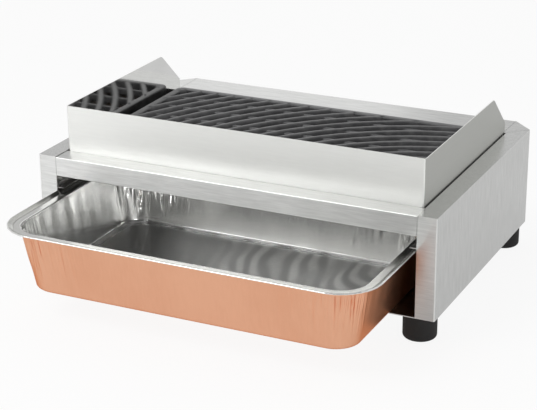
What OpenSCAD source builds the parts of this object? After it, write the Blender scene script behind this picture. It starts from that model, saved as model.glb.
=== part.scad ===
// Table-top electric grill: a steel housing that carries a lift-out windscreen and cooking grid
// above a slide-out drip tray. Millimetres, +Z up, the front faces -Y, the feet stand on z = 0.

/* [Housing] */
// Width across the side panels
body_w = 580; // [540:1:640]
// Depth from the front flanges to the back
body_d = 408; // [390:1:460]
// Height of the housing above its feet
body_h = 140; // [134:1:170]
// Thickness of the outer steel sheet
sheet_t = 1.5; // [1:0.1:2]
// Thickness of the inner steel sheet
liner_t = 1; // [0.8:0.1:1.5]
// Thickness of the base plate
base_t = 1.2; // [1:0.1:2]
// Width of the side panels' front and top flanges
flange_w = 26.5; // [24:0.5:29]
// Cut across each back corner
corner_cut = 30; // [27:1:38]
// Hairline gap at the visible seams
seam = 0.4; // [0.2:0.1:0.8]
// Depth of the wiring bay behind the bulkhead
wiring_bay_d = 63.5; // [60:0.5:80]
// Overhang of the rear deck in front of the bulkhead
deck_lip = 2; // [1:0.5:4]
// Height of the flange at the back of the base plate
base_flange_h = 18; // [14:1:24]

/* [Front rail] */
// Height of the front rail
rail_h = 27; // [22:0.5:34]
// Depth of the front rail
rail_d = 30; // [24:0.5:36]
// Step from the housing's top down to the rail
rail_drop = 0.8; // [0:0.1:2]

/* [Feet] */
// Diameter of a foot
foot_d = 45; // [36:1:50]
// Height of a foot
foot_h = 38; // [24:1:50]
// Rounding of a foot's lower edge
foot_round = 5; // [2:0.5:7]
// Foot centre to the side of the housing
foot_inset = 30; // [28:0.5:36]
// Foot centre to the front of the housing
foot_front = 30; // [28:0.5:40]
// Foot centre to the back of the housing
foot_back = 35; // [32:0.5:50]
// Diameter of a foot screw
foot_screw_d = 6; // [5:0.5:8]
// Depth of the screw recess in a foot
foot_recess = 22; // [8:1:22]

/* [Windscreen] */
// Height of the windscreen above the deck
screen_h = 64; // [40:1:100]
// Thickness of the windscreen sheet
screen_t = 1.2; // [0.8:0.1:2]
// Outer bend radius of the windscreen's front corners
screen_bend = 3; // [2.5:0.5:6]
// Gap between the front rail and the windscreen
screen_gap = 0.5; // [0.3:0.1:1.5]
// Gap between the side flanges and the windscreen's wings
wing_gap = 2; // [1:0.5:6]
// How far the wings reach past the front of the rear deck
wing_overlap = 10.5; // [6:0.5:20]
// Length of the slanted end of a wing
wing_slant = 54; // [30:1:80]
// Height of a wing at its back end
wing_tail_h = 15; // [8:1:24]
// Rounding of a wing's upper corner
wing_round = 10; // [2:0.5:14]

/* [Cooking grid] */
// Height of the grid's top above the deck
grid_rise = 8.5; // [4:0.5:14]
// Width of the grid's border
grid_border = 11.5; // [8:0.5:16]
// Rounding of the grid's corners
grid_round = 6; // [3:0.5:10]
// Gap between the grid and the windscreen's wings
grid_side_gap = 9.3; // [6:0.1:12]
// Gap between the grid and the windscreen's front
grid_front_gap = 8.5; // [5:0.5:12]
// Gap between the grid and the rear deck
grid_rear_gap = 7.5; // [5:0.5:12]
// Width of a curved bar
bar_w = 6; // [4:0.5:9]
// Height of a curved bar
bar_h = 12; // [9:0.5:16]
// Spacing of the curved bars
bar_pitch = 22.2; // [16:0.1:30]
// Radius of the first curved bar
bar_start_r = 95; // [90:1:110]
// Bar centre to the right side of the housing
bar_centre_side = 9; // [0:1:30]
// Bar centre in front of the housing
bar_centre_front = 31; // [20:1:50]
// Width of a cross rib
rib_w = 5; // [3:0.5:8]
// Spacing of the cross ribs
rib_pitch = 43.5; // [30:0.5:60]
// Step from the bar tops down to the cross ribs
rib_drop = 4; // [2:0.5:6]

/* [Support frame] */
// Depth of the ledge below the deck
ledge_drop = 12; // [9:0.5:16]
// Width of the ledge
ledge_w = 24; // [20:0.5:28]
// Gap under the parts that stand on the ledge
seat_gap = 0.2; // [0.1:0.05:0.3]

/* [Drip tray] */
// Height of the tray
tray_h = 91; // [70:1:92]
// Thickness of the tray wall
tray_t = 0.8; // [0.6:0.1:1.2]
// Width of the tray rim
rim_w = 18; // [14:0.5:26]
// Corner radius of the tray rim
rim_r = 57; // [45:1:70]
// Diameter of the rolled edge of the rim
bead_d = 2; // [1.6:0.1:3]
// Drop of the rim from its rolled edge to its crease
rim_drop = 3.3; // [2:0.1:5]
// Width of the sloping band between the rolled edge and the crease
rim_slope = 6; // [3:0.5:8]
// How far the tray wall leans in from top to bottom
tray_taper = 13; // [8:0.5:24]
// Corner radius of the tray bottom
tray_bottom_r = 32; // [24:1:50]
// Rounding between the tray wall and bottom
tray_fillet = 6; // [4:0.5:16]
// Gap at each side of the tray
tray_side_gap = 0.8; // [0.5:0.1:2]
// Gap between the closed tray and the bulkhead
tray_end_gap = 3; // [2:0.5:8]
// Closed tray behind the front of the housing
tray_inset = 1; // [0:0.5:8]
// Gap under the tray
tray_gap = 0.3; // [0.2:0.05:0.6]
// How far the tray is drawn out
tray_out = 165; // [0:1:200]
// Gap above the tray rim
guide_gap = 2; // [1:0.5:4]
// Reach of a tray guide over the rim
guide_w = 10; // [6:0.5:14]
// Height of a tray guide
guide_h = 8; // [5:0.5:8]

/* [Heating elements] */
// Diameter of the element tube
element_d = 8.5; // [6:0.5:9]
// Spacing of the element runs
element_pitch = 56; // [44:1:58]
// First element run to the middle of the grill
element_x = 34; // [26:1:40]
// Element axis below the ledge
element_drop = 12; // [9:0.5:12]
// Front turn of the elements to the front rail
element_front_gap = 32; // [20:1:60]
// Rear turn of the elements to the bulkhead
element_rear_gap = 30; // [20:1:60]
// Height of the straps under the elements
strap_h = 8; // [5:0.5:8]
// Thickness of the straps
strap_t = 2.5; // [2:0.5:4]
// Outer straps to the element turns
strap_inset = 42; // [30:1:60]
// Thread diameter of an element collar
collar_d = 14; // [12:0.5:16]

/* [Controls] */
// Thermostat centre left of the middle
thermostat_x = 160; // [158:1:164]
// Thermostat and lamp height above the base
control_z = 82; // [76:1:86]
// Thermostat width
thermostat_w = 44; // [40:1:50]
// Thermostat depth
thermostat_d = 30; // [24:1:34]
// Thermostat height
thermostat_h = 36; // [32:1:44]
// Diameter of the thermostat spindle
spindle_d = 6; // [5:0.5:8]
// Diameter of the knob
knob_d = 42; // [34:1:50]
// Height of the knob
knob_h = 22; // [16:1:28]
// Diameter of the dial plate
dial_d = 62; // [56:1:70]
// Diameter of the thermostat sensor bulb
bulb_d = 6; // [4:0.5:8]
// Length of the thermostat sensor bulb
bulb_len = 100; // [60:1:130]
// Pilot lamp centre left of the middle
lamp_x = 100; // [90:1:104]
// Diameter of the pilot lamp body
lamp_d = 12; // [10:0.5:14]

/* [Supply] */
// Cable gland centre right of the middle
gland_x = 200; // [190:1:208]
// Cable gland height above the base
gland_z = 40; // [34:1:56]
// Thread diameter of the cable gland
gland_d = 20; // [16:0.5:22]
// Cable bore of the gland seal
cable_bore_d = 8; // [6:0.5:9]
// Terminal block centre right of the middle
block_x = 146; // [140:1:150]
// Spacing of the terminals
pole_pitch = 12; // [10:0.5:14]
// Diameter of a wire
wire_d = 2.6; // [2:0.1:3]

/* [Hidden] */
$fn = 48;

steel = [0.78, 0.78, 0.77];
dull_steel = [0.55, 0.55, 0.55];
polished_steel = [0.88, 0.88, 0.88];
black_iron = [0.13, 0.13, 0.14];
black_rubber = [0.08, 0.08, 0.08];
copper_tone = [0.85, 0.62, 0.50];
ceramic = [0.92, 0.90, 0.85];
brass = [0.80, 0.66, 0.35];
grey_rubber = [0.25, 0.25, 0.25];
amber = [0.85, 0.35, 0.08];
pale_grey = [0.75, 0.75, 0.72];
brown = [0.45, 0.26, 0.15];
blue = [0.25, 0.45, 0.75];
green = [0.45, 0.65, 0.25];

// Clearances of the small fits, and how far a cutter reaches past a face
screw_gap = 0.2;
turn_gap = 0.05;
pipe_seat_gap = 0.2;
over = 1;

// Main planes of the housing
half_w = body_w / 2;
base_z = foot_h;
floor_z = base_z + base_t;
deck_z = base_z + body_h;
under_deck_z = deck_z - sheet_t;
bay_half = half_w - flange_w;
inner_half = half_w - sheet_t;
side_d = body_d - corner_cut;
deck_half = half_w - corner_cut;
back_y = body_d - sheet_t;
bulkhead_y = back_y - wiring_bay_d - liner_t;
bay_front_y = bulkhead_y + liner_t;
deck_front_y = bulkhead_y - deck_lip;
ledge_z = deck_z - ledge_drop;

// Diagonal sheet of a cut corner: how far its inner face stands in at each end
cut_side = sheet_t * sqrt(2);
cut_back = sheet_t * (sqrt(2) - 1);

// Windscreen and grid
screen_half = bay_half - wing_gap;
screen_y = rail_d + screen_gap;
screen_top_z = deck_z + screen_h;
screen_bottom_z = ledge_z + seat_gap;
wing_end_y = deck_front_y + wing_overlap;
wing_skirt_gap = 3;
grid_half = screen_half - screen_t - grid_side_gap;
grid_front_y = screen_y + screen_t + grid_front_gap;
grid_rear_y = deck_front_y - grid_rear_gap;
grid_d = grid_rear_y - grid_front_y;
grid_mid_y = (grid_front_y + grid_rear_y) / 2;
grid_top_z = deck_z + grid_rise;
grid_bottom_z = ledge_z + seat_gap;
bar_centre = [half_w - bar_centre_side, -bar_centre_front];
bar_reach = norm([-grid_half, grid_rear_y] - bar_centre);
bar_count = floor((bar_reach - bar_start_r) / bar_pitch);
rib_count = floor((grid_d - 2 * grid_border) / rib_pitch);

// Drip tray
tray_w = 2 * (bay_half - tray_side_gap);
tray_d = bulkhead_y - tray_end_gap - tray_inset;
tray_front_y = tray_inset - tray_out;
tray_z = floor_z + tray_gap;
rim_z = tray_z + tray_h;
guide_z = rim_z + guide_gap;

// Heating elements
element_r = element_d / 2;
element_z = ledge_z - element_drop;
element_front_y = rail_d + element_front_gap;
element_rear_y = bulkhead_y - element_rear_gap;
element_last_x = element_x + 3 * element_pitch;
element_ends_x = [-element_last_x, -element_x, element_x, element_last_x];
element_bend = element_pitch / 2;
element_tail = 16;
element_end_y = bay_front_y + element_tail;
collar_flange_step = 2.5;
collar_flange_d = collar_d + 2 * collar_flange_step;
collar_flange_t = 3;
collar_thread = 10;
collar_len = liner_t + collar_thread;
collar_nut_h = 5;
insulator_d = 7;
insulator_len = 8;
stud_d = 3;
stud_len = 18;
stud_end_y = element_end_y + stud_len;
strap_z = element_z - element_r - pipe_seat_gap - strap_h;
strap_front_y = element_front_y + strap_inset;
strap_rear_y = element_rear_y - strap_inset;
strap_rows = [strap_front_y, (strap_front_y + strap_rear_y) / 2, strap_rear_y];

// Controls on the back
control_height = base_z + control_z;
thermostat_front_y = back_y - thermostat_d;
bush_wall = 2;
bush_d = spindle_d + 2 * bush_wall;
bush_out = 4.5;
dial_t = 0.8;
thermostat_nut_h = 3;
thermostat_nut_wall = 2;
knob_gap = 0.6;
knob_back_y = body_d + dial_t + knob_gap;
knob_recess_d = 21;
knob_recess_h = 5;
knob_edge = 2;
knob_grip_w = 9;
knob_skirt_h = 6;
knob_cap = 4;
spindle_in = 14;
spindle_end_gap = 1;
spindle_out = knob_back_y + knob_h - knob_cap - body_d;
lamp_body_len = 25;
lamp_lens_lip = 1.5;
lamp_lens_d = lamp_d + 2 * lamp_lens_lip;
lamp_lens_h = 6;
bulb_x = -(element_x + 2.5 * element_pitch);
bulb_z = element_z - element_r + bulb_d / 2;
bulb_gap = 40;
bulb_rear_y = bulkhead_y - bulb_gap;
capillary_d = 2;
capillary_bend = 5;
capillary_rise = 8;
capillary_start_z = control_height + capillary_rise;
capillary_reach = 14.5;
capillary_turn_y = thermostat_front_y - capillary_reach;
capillary_hole_d = 5;

// Supply
block_wall = 3;
block_w = 4 * pole_pitch + 2 * block_wall;
block_d = 28;
block_h = 20;
block_inset = 36.5;
block_front_y = back_y - block_inset;
block_top_z = floor_z + block_h;
block_slot_w = 2;
block_slot_h = 5;
block_screw_d = 4.4;
block_screw_h = 2;
block_screw_inset = 4;
earth_inset = 32;
earth_x = deck_half - earth_inset;
earth_back = 26.5;
earth_y = back_y - earth_back;
earth_d = 5;
earth_len = 14;
earth_nut_h = 4;
earth_nut_gap = 1;
earth_nut_af = earth_d + 3;
gland_height = base_z + gland_z;
gland_hex_step = 2;
gland_hex = gland_d + 2 * gland_hex_step;
gland_flange_t = 5;
gland_in = 12;
gland_nut_h = 5;
gland_seal_len = 16;
gland_seal_inset = 3;
gland_wall = 4;
gland_dome_len = 15;
gland_dome_step = 1;
gland_dome_d = gland_d + 2 * gland_dome_step;
gland_dome_round = 2;

// Wires: bend radius, how far each runs from the back panel, and its height beside the controls
wire_r = wire_d / 2;
wire_bend = 6;
lamp_lead_d = 2.2;
lamp_lead_bend = 4;
lamp_lead_gap = 6;
lamp_lead_step = 4;
lamp_lead_reach = 10;
lamp_lead_spread = 7;
lamp_lead_in_x = 10;
lamp_lead_in_gap = 8;
supply_back = 26.5;
left_live_back = 16.5;
right_live_back = 6.5;
left_neutral_back = 14.5;
right_neutral_back = 20.5;
supply_drop = 12;
left_live_drop = 7;
right_live_rise = 10;
left_neutral_drop = 22;
right_neutral_drop = 32;
earth_wire_rise = 16;

// Fasteners
foot_screw_head_d = 2 * foot_screw_d;
foot_screw_head_h = 4;
foot_screw_tip = 1;
foot_head_gap = 2;
foot_nut_af = 10;
foot_nut_h = 5;
foot_rows = [foot_front, body_d - foot_back];
liner_notch = 18;
liner_notch_h = 8;
back_screw_d = 4;
back_screw_len = 8;
back_screw_z = base_z + base_flange_h / 2;
back_screw_inset = 40;
back_screw_x = 75;
back_screw_right_x = 165;
back_screws_x = [-deck_half + back_screw_inset, -back_screw_x, back_screw_x, back_screw_right_x];
base_flange_inset = 12;
base_flange_half = deck_half - base_flange_inset;

// The origin lies under the middle of the grill with its tray drawn out
back_reach = max(knob_back_y + knob_h, body_d + gland_flange_t + gland_dome_len);
middle_y = (min(tray_front_y, 0) + back_reach) / 2;

module placed() {
  translate([0, -middle_y, 0]) children();
}

module box(low, high) {
  translate(low) cube(high - low);
}

module mirrored(side) {
  mirror([side < 0 ? 1 : 0, 0, 0]) children();
}

module rounded_rect(w, d, r) {
  square([w - 2 * r, d], center = true);
  square([w, d - 2 * r], center = true);
  for (x = [-1, 1], y = [-1, 1]) translate([x * (w / 2 - r), y * (d / 2 - r)]) circle(r);
}

// Round bar from the front to the back
module bar_y(x, z, from_y, to_y, d) {
  translate([x, from_y, z]) rotate([-90, 0, 0]) cylinder(h = to_y - from_y, d = d);
}

module bar_z(x, y, from_z, to_z, d) {
  translate([x, y, from_z]) cylinder(h = to_z - from_z, d = d);
}

// Hexagon nut along Y, given across its flats
module hex_y(x, z, from_y, to_y, across) {
  translate([x, from_y, z]) rotate([-90, 0, 0]) cylinder(h = to_y - from_y, d = across / cos(30), $fn = 6);
}

module hex_z(x, y, from_z, to_z, across) {
  translate([x, y, from_z]) cylinder(h = to_z - from_z, d = across / cos(30), $fn = 6);
}

function unit(v) = v / norm(v);

module leg(from, to, r) {
  way = to - from;
  length = norm(way);
  translate(from) rotate([0, acos(way.z / length), atan2(way.y, way.x)]) cylinder(h = length, r = r);
}

module elbow(corner, u, v, r, bend) {
  w = cross(u, v);
  c = corner - bend * u + bend * v;
  multmatrix([[-v.x, u.x, w.x, c.x], [-v.y, u.y, w.y, c.y], [-v.z, u.z, w.z, c.z], [0, 0, 0, 1]])
    rotate_extrude(angle = 90) translate([bend, 0]) circle(r);
}

// Round wire or tube along a route whose legs follow the axes, with a bend at each inner point
module pipe(route, r, bend) {
  last = len(route) - 1;
  for (i = [0:last - 1]) {
    way = unit(route[i + 1] - route[i]);
    from = route[i] + (i == 0 ? 0 : bend) * way;
    to = route[i + 1] - (i == last - 1 ? 0 : bend) * way;
    if (norm(to - from) > 0.01) leg(from, to, r);
    if (i < last - 1) elbow(route[i + 1], way, unit(route[i + 2] - route[i + 1]), r, bend);
  }
}

// Housing

module base_plate() {
  right = [
    [bay_half, 0], [bay_half, sheet_t], [inner_half, sheet_t],
    [inner_half, side_d - cut_back], [deck_half - cut_back, back_y]
  ];
  left = [for (i = [len(right) - 1:-1:0]) [-right[i].x, right[i].y]];
  color(steel) placed() difference() {
    union() {
      translate([0, 0, base_z]) linear_extrude(base_t) polygon(concat(right, left));
      box([-base_flange_half, back_y - base_t, base_z], [base_flange_half, back_y, base_z + base_flange_h]);
    }
    for (x = [-1, 1], y = foot_rows)
      bar_z(x * (half_w - foot_inset), y, base_z - over, floor_z + over, foot_screw_d + 2 * screw_gap);
    for (x = back_screws_x)
      bar_y(x, back_screw_z, back_y - base_t - over, back_y + over, back_screw_d + 2 * turn_gap);
    bar_z(earth_x, earth_y, base_z - over, floor_z + over, earth_d + 2 * turn_gap);
  }
}

module side_panel(side) {
  mitre = seam * sqrt(2);
  color(steel) placed() mirrored(side) {
    box([inner_half, 0, base_z], [half_w, side_d, under_deck_z]);
    box([bay_half, 0, base_z], [half_w, sheet_t, under_deck_z]);
    translate([0, 0, under_deck_z]) linear_extrude(sheet_t) polygon([
      [bay_half, 0], [half_w, 0], [half_w, side_d - mitre], [bay_half, side_d - flange_w - mitre]
    ]);
  }
}

module side_panel_left() { side_panel(-1); }

module side_panel_right() { side_panel(1); }

module side_liner(side) {
  color(dull_steel) placed() mirrored(side) difference() {
    box([bay_half, sheet_t, floor_z], [bay_half + liner_t, bulkhead_y, under_deck_z]);
    for (y = foot_rows) box(
      [bay_half - over, y - liner_notch / 2, floor_z - over],
      [bay_half + liner_t + over, y + liner_notch / 2, floor_z + liner_notch_h]
    );
  }
}

module side_liner_left() { side_liner(-1); }

module side_liner_right() { side_liner(1); }

module front_rail() {
  top = deck_z - rail_drop;
  end = bay_half - seam;
  color(steel) placed() difference() {
    box([-end, 0, top - rail_h], [end, rail_d, top]);
    box([-end - over, sheet_t, top - rail_h + sheet_t], [end + over, rail_d - sheet_t, top - sheet_t]);
  }
}

module rear_panel() {
  outer = [[half_w, side_d], [deck_half, body_d], [-deck_half, body_d], [-half_w, side_d]];
  inner = [
    [half_w - cut_side, side_d], [deck_half - cut_back, back_y],
    [-deck_half + cut_back, back_y], [-half_w + cut_side, side_d]
  ];
  color(steel) placed() difference() {
    union() {
      translate([0, 0, base_z]) linear_extrude(body_h - sheet_t) difference() {
        polygon(outer);
        polygon(inner);
      }
      box([-deck_half + seam, deck_front_y, under_deck_z], [deck_half - seam, body_d, deck_z]);
      for (side = [-1, 1]) mirrored(side) translate([0, 0, under_deck_z]) linear_extrude(sheet_t)
        polygon([[half_w, side_d], [deck_half, body_d], [deck_half, side_d - corner_cut]]);
    }
    bar_y(-thermostat_x, control_height, back_y - over, body_d + over, bush_d + 2 * screw_gap);
    bar_y(-lamp_x, control_height, back_y - over, body_d + over, lamp_d + 2 * screw_gap);
    bar_y(gland_x, gland_height, back_y - over, body_d + over, gland_d + 2 * screw_gap);
    for (x = back_screws_x)
      bar_y(x, back_screw_z, back_y - over, body_d + over, back_screw_d + 2 * screw_gap);
  }
}

module bulkhead() {
  color(dull_steel) placed() difference() {
    box([-inner_half, bulkhead_y, floor_z], [inner_half, bay_front_y, under_deck_z]);
    for (x = element_ends_x)
      bar_y(x, element_z, bulkhead_y - over, bay_front_y + over, collar_d + 2 * screw_gap);
    bar_y(bulb_x, bulb_z, bulkhead_y - over, bay_front_y + over, capillary_hole_d);
  }
}

module support_frame() {
  inner = bay_half - ledge_w;
  color(dull_steel) placed() difference() {
    box([-bay_half, rail_d, ledge_z - liner_t], [bay_half, bulkhead_y, ledge_z]);
    box([-inner, rail_d + ledge_w, ledge_z - liner_t - over], [inner, bulkhead_y - ledge_w, ledge_z + over]);
  }
}

module tray_guide(side) {
  color(dull_steel) placed() mirrored(side) {
    box([bay_half - liner_t, sheet_t, guide_z], [bay_half, bulkhead_y, guide_z + guide_h]);
    box([bay_half - guide_w, sheet_t, guide_z], [bay_half - liner_t, bulkhead_y, guide_z + liner_t]);
  }
}

module tray_guide_left() { tray_guide(-1); }

module tray_guide_right() { tray_guide(1); }

// Feet and fasteners

module foot(side, row) {
  r = foot_d / 2;
  color(black_rubber) placed() translate([side * (half_w - foot_inset), foot_rows[row], 0]) difference() {
    rotate_extrude() {
      square([r - foot_round, foot_h]);
      translate([0, foot_round]) square([r, foot_h - foot_round]);
      translate([r - foot_round, foot_round]) intersection() {
        circle(foot_round);
        translate([0, -foot_round]) square(foot_round);
      }
    }
    bar_z(0, 0, -over, foot_recess, foot_screw_head_d + 2 * foot_head_gap);
    bar_z(0, 0, foot_recess - over, foot_h + over, foot_screw_d + 2 * screw_gap);
  }
}

module foot_front_left() { foot(-1, 0); }

module foot_front_right() { foot(1, 0); }

module foot_rear_left() { foot(-1, 1); }

module foot_rear_right() { foot(1, 1); }

module foot_screws() {
  end_z = floor_z + foot_nut_h + foot_screw_tip;
  color(dull_steel) placed() for (side = [-1, 1], y = foot_rows)
  translate([side * (half_w - foot_inset), y, 0]) {
    bar_z(0, 0, foot_recess - foot_screw_head_h, foot_recess, foot_screw_head_d);
    bar_z(0, 0, foot_recess, end_z, foot_screw_d);
  }
}

module foot_nuts() {
  color(dull_steel) placed() for (side = [-1, 1], y = foot_rows)
    translate([side * (half_w - foot_inset), y, 0]) difference() {
      hex_z(0, 0, floor_z, floor_z + foot_nut_h, foot_nut_af);
      bar_z(0, 0, floor_z - over, floor_z + foot_nut_h + over, foot_screw_d + 2 * turn_gap);
    }
}

module rear_panel_screws() {
  head = 2 * back_screw_d;
  color(dull_steel) placed() for (x = back_screws_x) {
    bar_y(x, back_screw_z, body_d - back_screw_len, body_d, back_screw_d);
    translate([x, body_d, back_screw_z]) rotate([-90, 0, 0]) intersection() {
      cylinder(h = head / 3, d = head);
      translate([0, 0, -head / 2]) sphere(r = head / 2 + head / 3);
    }
  }
}

// Heating elements

module heating_element(side) {
  x = [for (i = [0:3]) element_x + i * element_pitch];
  run = [
    [x[0], element_end_y, element_z], [x[0], element_front_y, element_z],
    [x[1], element_front_y, element_z], [x[1], element_rear_y, element_z],
    [x[2], element_rear_y, element_z], [x[2], element_front_y, element_z],
    [x[3], element_front_y, element_z], [x[3], element_end_y, element_z]
  ];
  color(dull_steel) placed() mirrored(side) pipe(run, element_r, element_bend);
}

module heating_element_left() { heating_element(-1); }

module heating_element_right() { heating_element(1); }

module element_straps() {
  color(dull_steel) placed() for (y = strap_rows)
    box([-bay_half, y - strap_t / 2, strap_z], [bay_half, y + strap_t / 2, strap_z + strap_h]);
}

module element_collars() {
  flange_y = bulkhead_y - collar_flange_t;
  color(brass) placed() for (x = element_ends_x) difference() {
    union() {
      bar_y(x, element_z, flange_y, bulkhead_y, collar_flange_d);
      bar_y(x, element_z, bulkhead_y, bulkhead_y + collar_len, collar_d);
    }
    bar_y(x, element_z, flange_y - over, bulkhead_y + collar_len + over, element_d + 2 * turn_gap);
  }
}

module element_nuts() {
  color(brass) placed() for (x = element_ends_x) difference() {
    hex_y(x, element_z, bay_front_y, bay_front_y + collar_nut_h, collar_flange_d);
    bar_y(x, element_z, bay_front_y - over, bay_front_y + collar_nut_h + over, collar_d + 2 * turn_gap);
  }
}

module element_insulators() {
  color(ceramic) placed() for (x = element_ends_x) difference() {
    bar_y(x, element_z, element_end_y, element_end_y + insulator_len, insulator_d);
    bar_y(x, element_z, element_end_y - over, element_end_y + insulator_len + over, stud_d + 2 * turn_gap);
  }
}

module element_terminals() {
  color(dull_steel) placed() for (x = element_ends_x) bar_y(x, element_z, element_end_y, stud_end_y, stud_d);
}

// Controls

module thermostat_body() {
  x = -thermostat_x;
  color(ceramic) placed() difference() {
    union() {
      box(
        [x - thermostat_w / 2, thermostat_front_y, control_height - thermostat_h / 2],
        [x + thermostat_w / 2, back_y, control_height + thermostat_h / 2]
      );
      bar_y(x, control_height, back_y, body_d + bush_out, bush_d);
    }
    bar_y(x, control_height, back_y - spindle_in, body_d + bush_out + over, spindle_d + 2 * turn_gap);
  }
}

module thermostat_nut() {
  from = body_d + dial_t;
  color(brass) placed() difference() {
    hex_y(-thermostat_x, control_height, from, from + thermostat_nut_h, bush_d + 2 * thermostat_nut_wall);
    bar_y(-thermostat_x, control_height, from - over, from + thermostat_nut_h + over, bush_d + 2 * turn_gap);
  }
}

module dial_plate() {
  color(steel) placed() difference() {
    bar_y(-thermostat_x, control_height, body_d, body_d + dial_t, dial_d);
    bar_y(-thermostat_x, control_height, body_d - over, body_d + dial_t + over, bush_d + 2 * screw_gap);
  }
}

module thermostat_spindle() {
  from = back_y - spindle_in + spindle_end_gap;
  color(dull_steel) placed() bar_y(-thermostat_x, control_height, from, body_d + spindle_out, spindle_d);
}

module thermostat_knob() {
  r = knob_d / 2;
  grip_r = r - knob_edge;
  top = knob_back_y + knob_h;
  skirt = knob_back_y + knob_skirt_h;
  color(black_rubber) placed() translate([-thermostat_x, 0, control_height]) difference() {
    union() {
      translate([0, knob_back_y, 0]) rotate([-90, 0, 0]) cylinder(h = knob_skirt_h - knob_edge, r = r);
      translate([0, skirt - knob_edge, 0]) rotate([-90, 0, 0]) cylinder(h = knob_edge, r1 = r, r2 = grip_r);
      intersection() {
        translate([0, skirt, 0]) rotate([-90, 0, 0]) cylinder(h = knob_h - knob_skirt_h, r = grip_r);
        box([-knob_grip_w / 2, skirt, -r], [knob_grip_w / 2, top, r]);
      }
      bar_y(0, 0, skirt, top - knob_cap, knob_recess_d);
    }
    bar_y(0, 0, knob_back_y - over, knob_back_y + knob_recess_h, knob_recess_d);
    bar_y(0, 0, knob_back_y - over, body_d + spindle_out, spindle_d + 2 * turn_gap);
  }
}

module sensor_bulb() {
  color(brass) placed() bar_y(bulb_x, bulb_z, bulb_rear_y - bulb_len, bulb_rear_y, bulb_d);
}

module capillary_tube() {
  route = [
    [bulb_x, thermostat_front_y, capillary_start_z], [bulb_x, capillary_turn_y, capillary_start_z],
    [bulb_x, capillary_turn_y, bulb_z], [bulb_x, bulb_rear_y, bulb_z]
  ];
  color(brass) placed() pipe(route, capillary_d / 2, capillary_bend);
}

module pilot_lamp_body() {
  color(ceramic) placed() bar_y(-lamp_x, control_height, back_y - lamp_body_len, body_d, lamp_d);
}

module pilot_lamp_lens() {
  r = lamp_lens_d / 2;
  color(amber) placed() translate([-lamp_x, body_d, control_height]) rotate([-90, 0, 0])
    intersection() {
      cylinder(h = lamp_lens_h, r = r);
      translate([0, 0, lamp_lens_h - 2 * r]) sphere(r = 2 * r);
    }
}

module lamp_leads() {
  end_y = back_y - lamp_body_len;
  color(pale_grey) placed() for (i = [0, 1]) {
    x = -lamp_x + lamp_lead_gap * (0.5 - i);
    z = control_height + lamp_lead_step * (0.5 - i);
    turn_y = thermostat_front_y - lamp_lead_reach - lamp_lead_spread * i;
    to_x = -thermostat_x + lamp_lead_in_x - lamp_lead_in_gap * i;
    pipe(
      [[x, end_y, z], [x, turn_y, z], [to_x, turn_y, z], [to_x, thermostat_front_y, z]],
      lamp_lead_d / 2, lamp_lead_bend
    );
  }
}

// Supply

function pole_x(i) = block_x + (i - 1.5) * pole_pitch;

module terminal_block() {
  color(ceramic) placed() difference() {
    box(
      [block_x - block_w / 2, block_front_y, floor_z],
      [block_x + block_w / 2, block_front_y + block_d, block_top_z]
    );
    for (i = [0:2]) box(
      [pole_x(i) + (pole_pitch - block_slot_w) / 2, block_front_y - over, block_top_z - block_slot_h],
      [pole_x(i) + (pole_pitch + block_slot_w) / 2, block_front_y + block_d + over, block_top_z + over]
    );
  }
}

module terminal_screws() {
  y = block_front_y + block_screw_inset;
  color(brass) placed() for (i = [0:3])
    bar_z(pole_x(i), y, block_top_z, block_top_z + block_screw_h, block_screw_d);
}

module earth_stud() {
  color(brass) placed() bar_z(earth_x, earth_y, base_z, floor_z + earth_len, earth_d);
}

module earth_nuts() {
  color(brass) placed() for (i = [0, 1]) difference() {
    from = floor_z + i * (earth_nut_h + earth_nut_gap);
    hex_z(earth_x, earth_y, from, from + earth_nut_h, earth_nut_af);
    bar_z(earth_x, earth_y, floor_z - over, floor_z + earth_len, earth_d + 2 * turn_gap);
  }
}

module gland_body() {
  outer = body_d + gland_flange_t;
  color(black_rubber) placed() difference() {
    union() {
      hex_y(gland_x, gland_height, body_d, outer, gland_hex);
      bar_y(gland_x, gland_height, back_y - gland_in, body_d, gland_d);
    }
    bar_y(gland_x, gland_height, back_y - gland_in - over, outer + over, gland_d - 2 * gland_wall);
  }
}

module gland_lock_nut() {
  from = back_y - gland_nut_h;
  color(black_rubber) placed() difference() {
    hex_y(gland_x, gland_height, from, back_y, gland_hex);
    bar_y(gland_x, gland_height, from - over, back_y + over, gland_d + 2 * turn_gap);
  }
}

module gland_dome_nut() {
  from = body_d + gland_flange_t;
  r = gland_dome_d / 2;
  color(black_rubber) placed() translate([gland_x, from, gland_height]) rotate([-90, 0, 0]) difference() {
    intersection() {
      cylinder(h = gland_dome_len, r = r);
      translate([0, 0, gland_dome_len - 2 * r]) sphere(r = 2 * r - gland_dome_round);
    }
    translate([0, 0, -over]) cylinder(h = gland_dome_len + 2 * over, d = gland_d - 2 * gland_wall);
  }
}

module gland_seal() {
  to = body_d + gland_flange_t + gland_dome_len - gland_seal_inset;
  color(grey_rubber) placed() difference() {
    bar_y(gland_x, gland_height, to - gland_seal_len, to, gland_d - 2 * gland_wall - 2 * turn_gap);
    bar_y(gland_x, gland_height, to - gland_seal_len - over, to + over, cable_bore_d);
  }
}

// Wires

module wire(route) {
  placed() pipe(route, wire_r, wire_bend);
}

// Wire from a terminal of the block, along the bay and up to an element's stud
module stud_wire(from_x, to_x, y, z) {
  wire([
    [from_x, y, block_top_z], [from_x, y, z], [to_x, y, z],
    [to_x, y, element_z], [to_x, stud_end_y, element_z]
  ]);
}

module wire_live_supply() {
  y = back_y - supply_back;
  z = control_height - supply_drop;
  to_x = -thermostat_x + thermostat_w / 2;
  color(brown) wire([[pole_x(0), y, block_top_z], [pole_x(0), y, z], [to_x, y, z]]);
}

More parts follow.
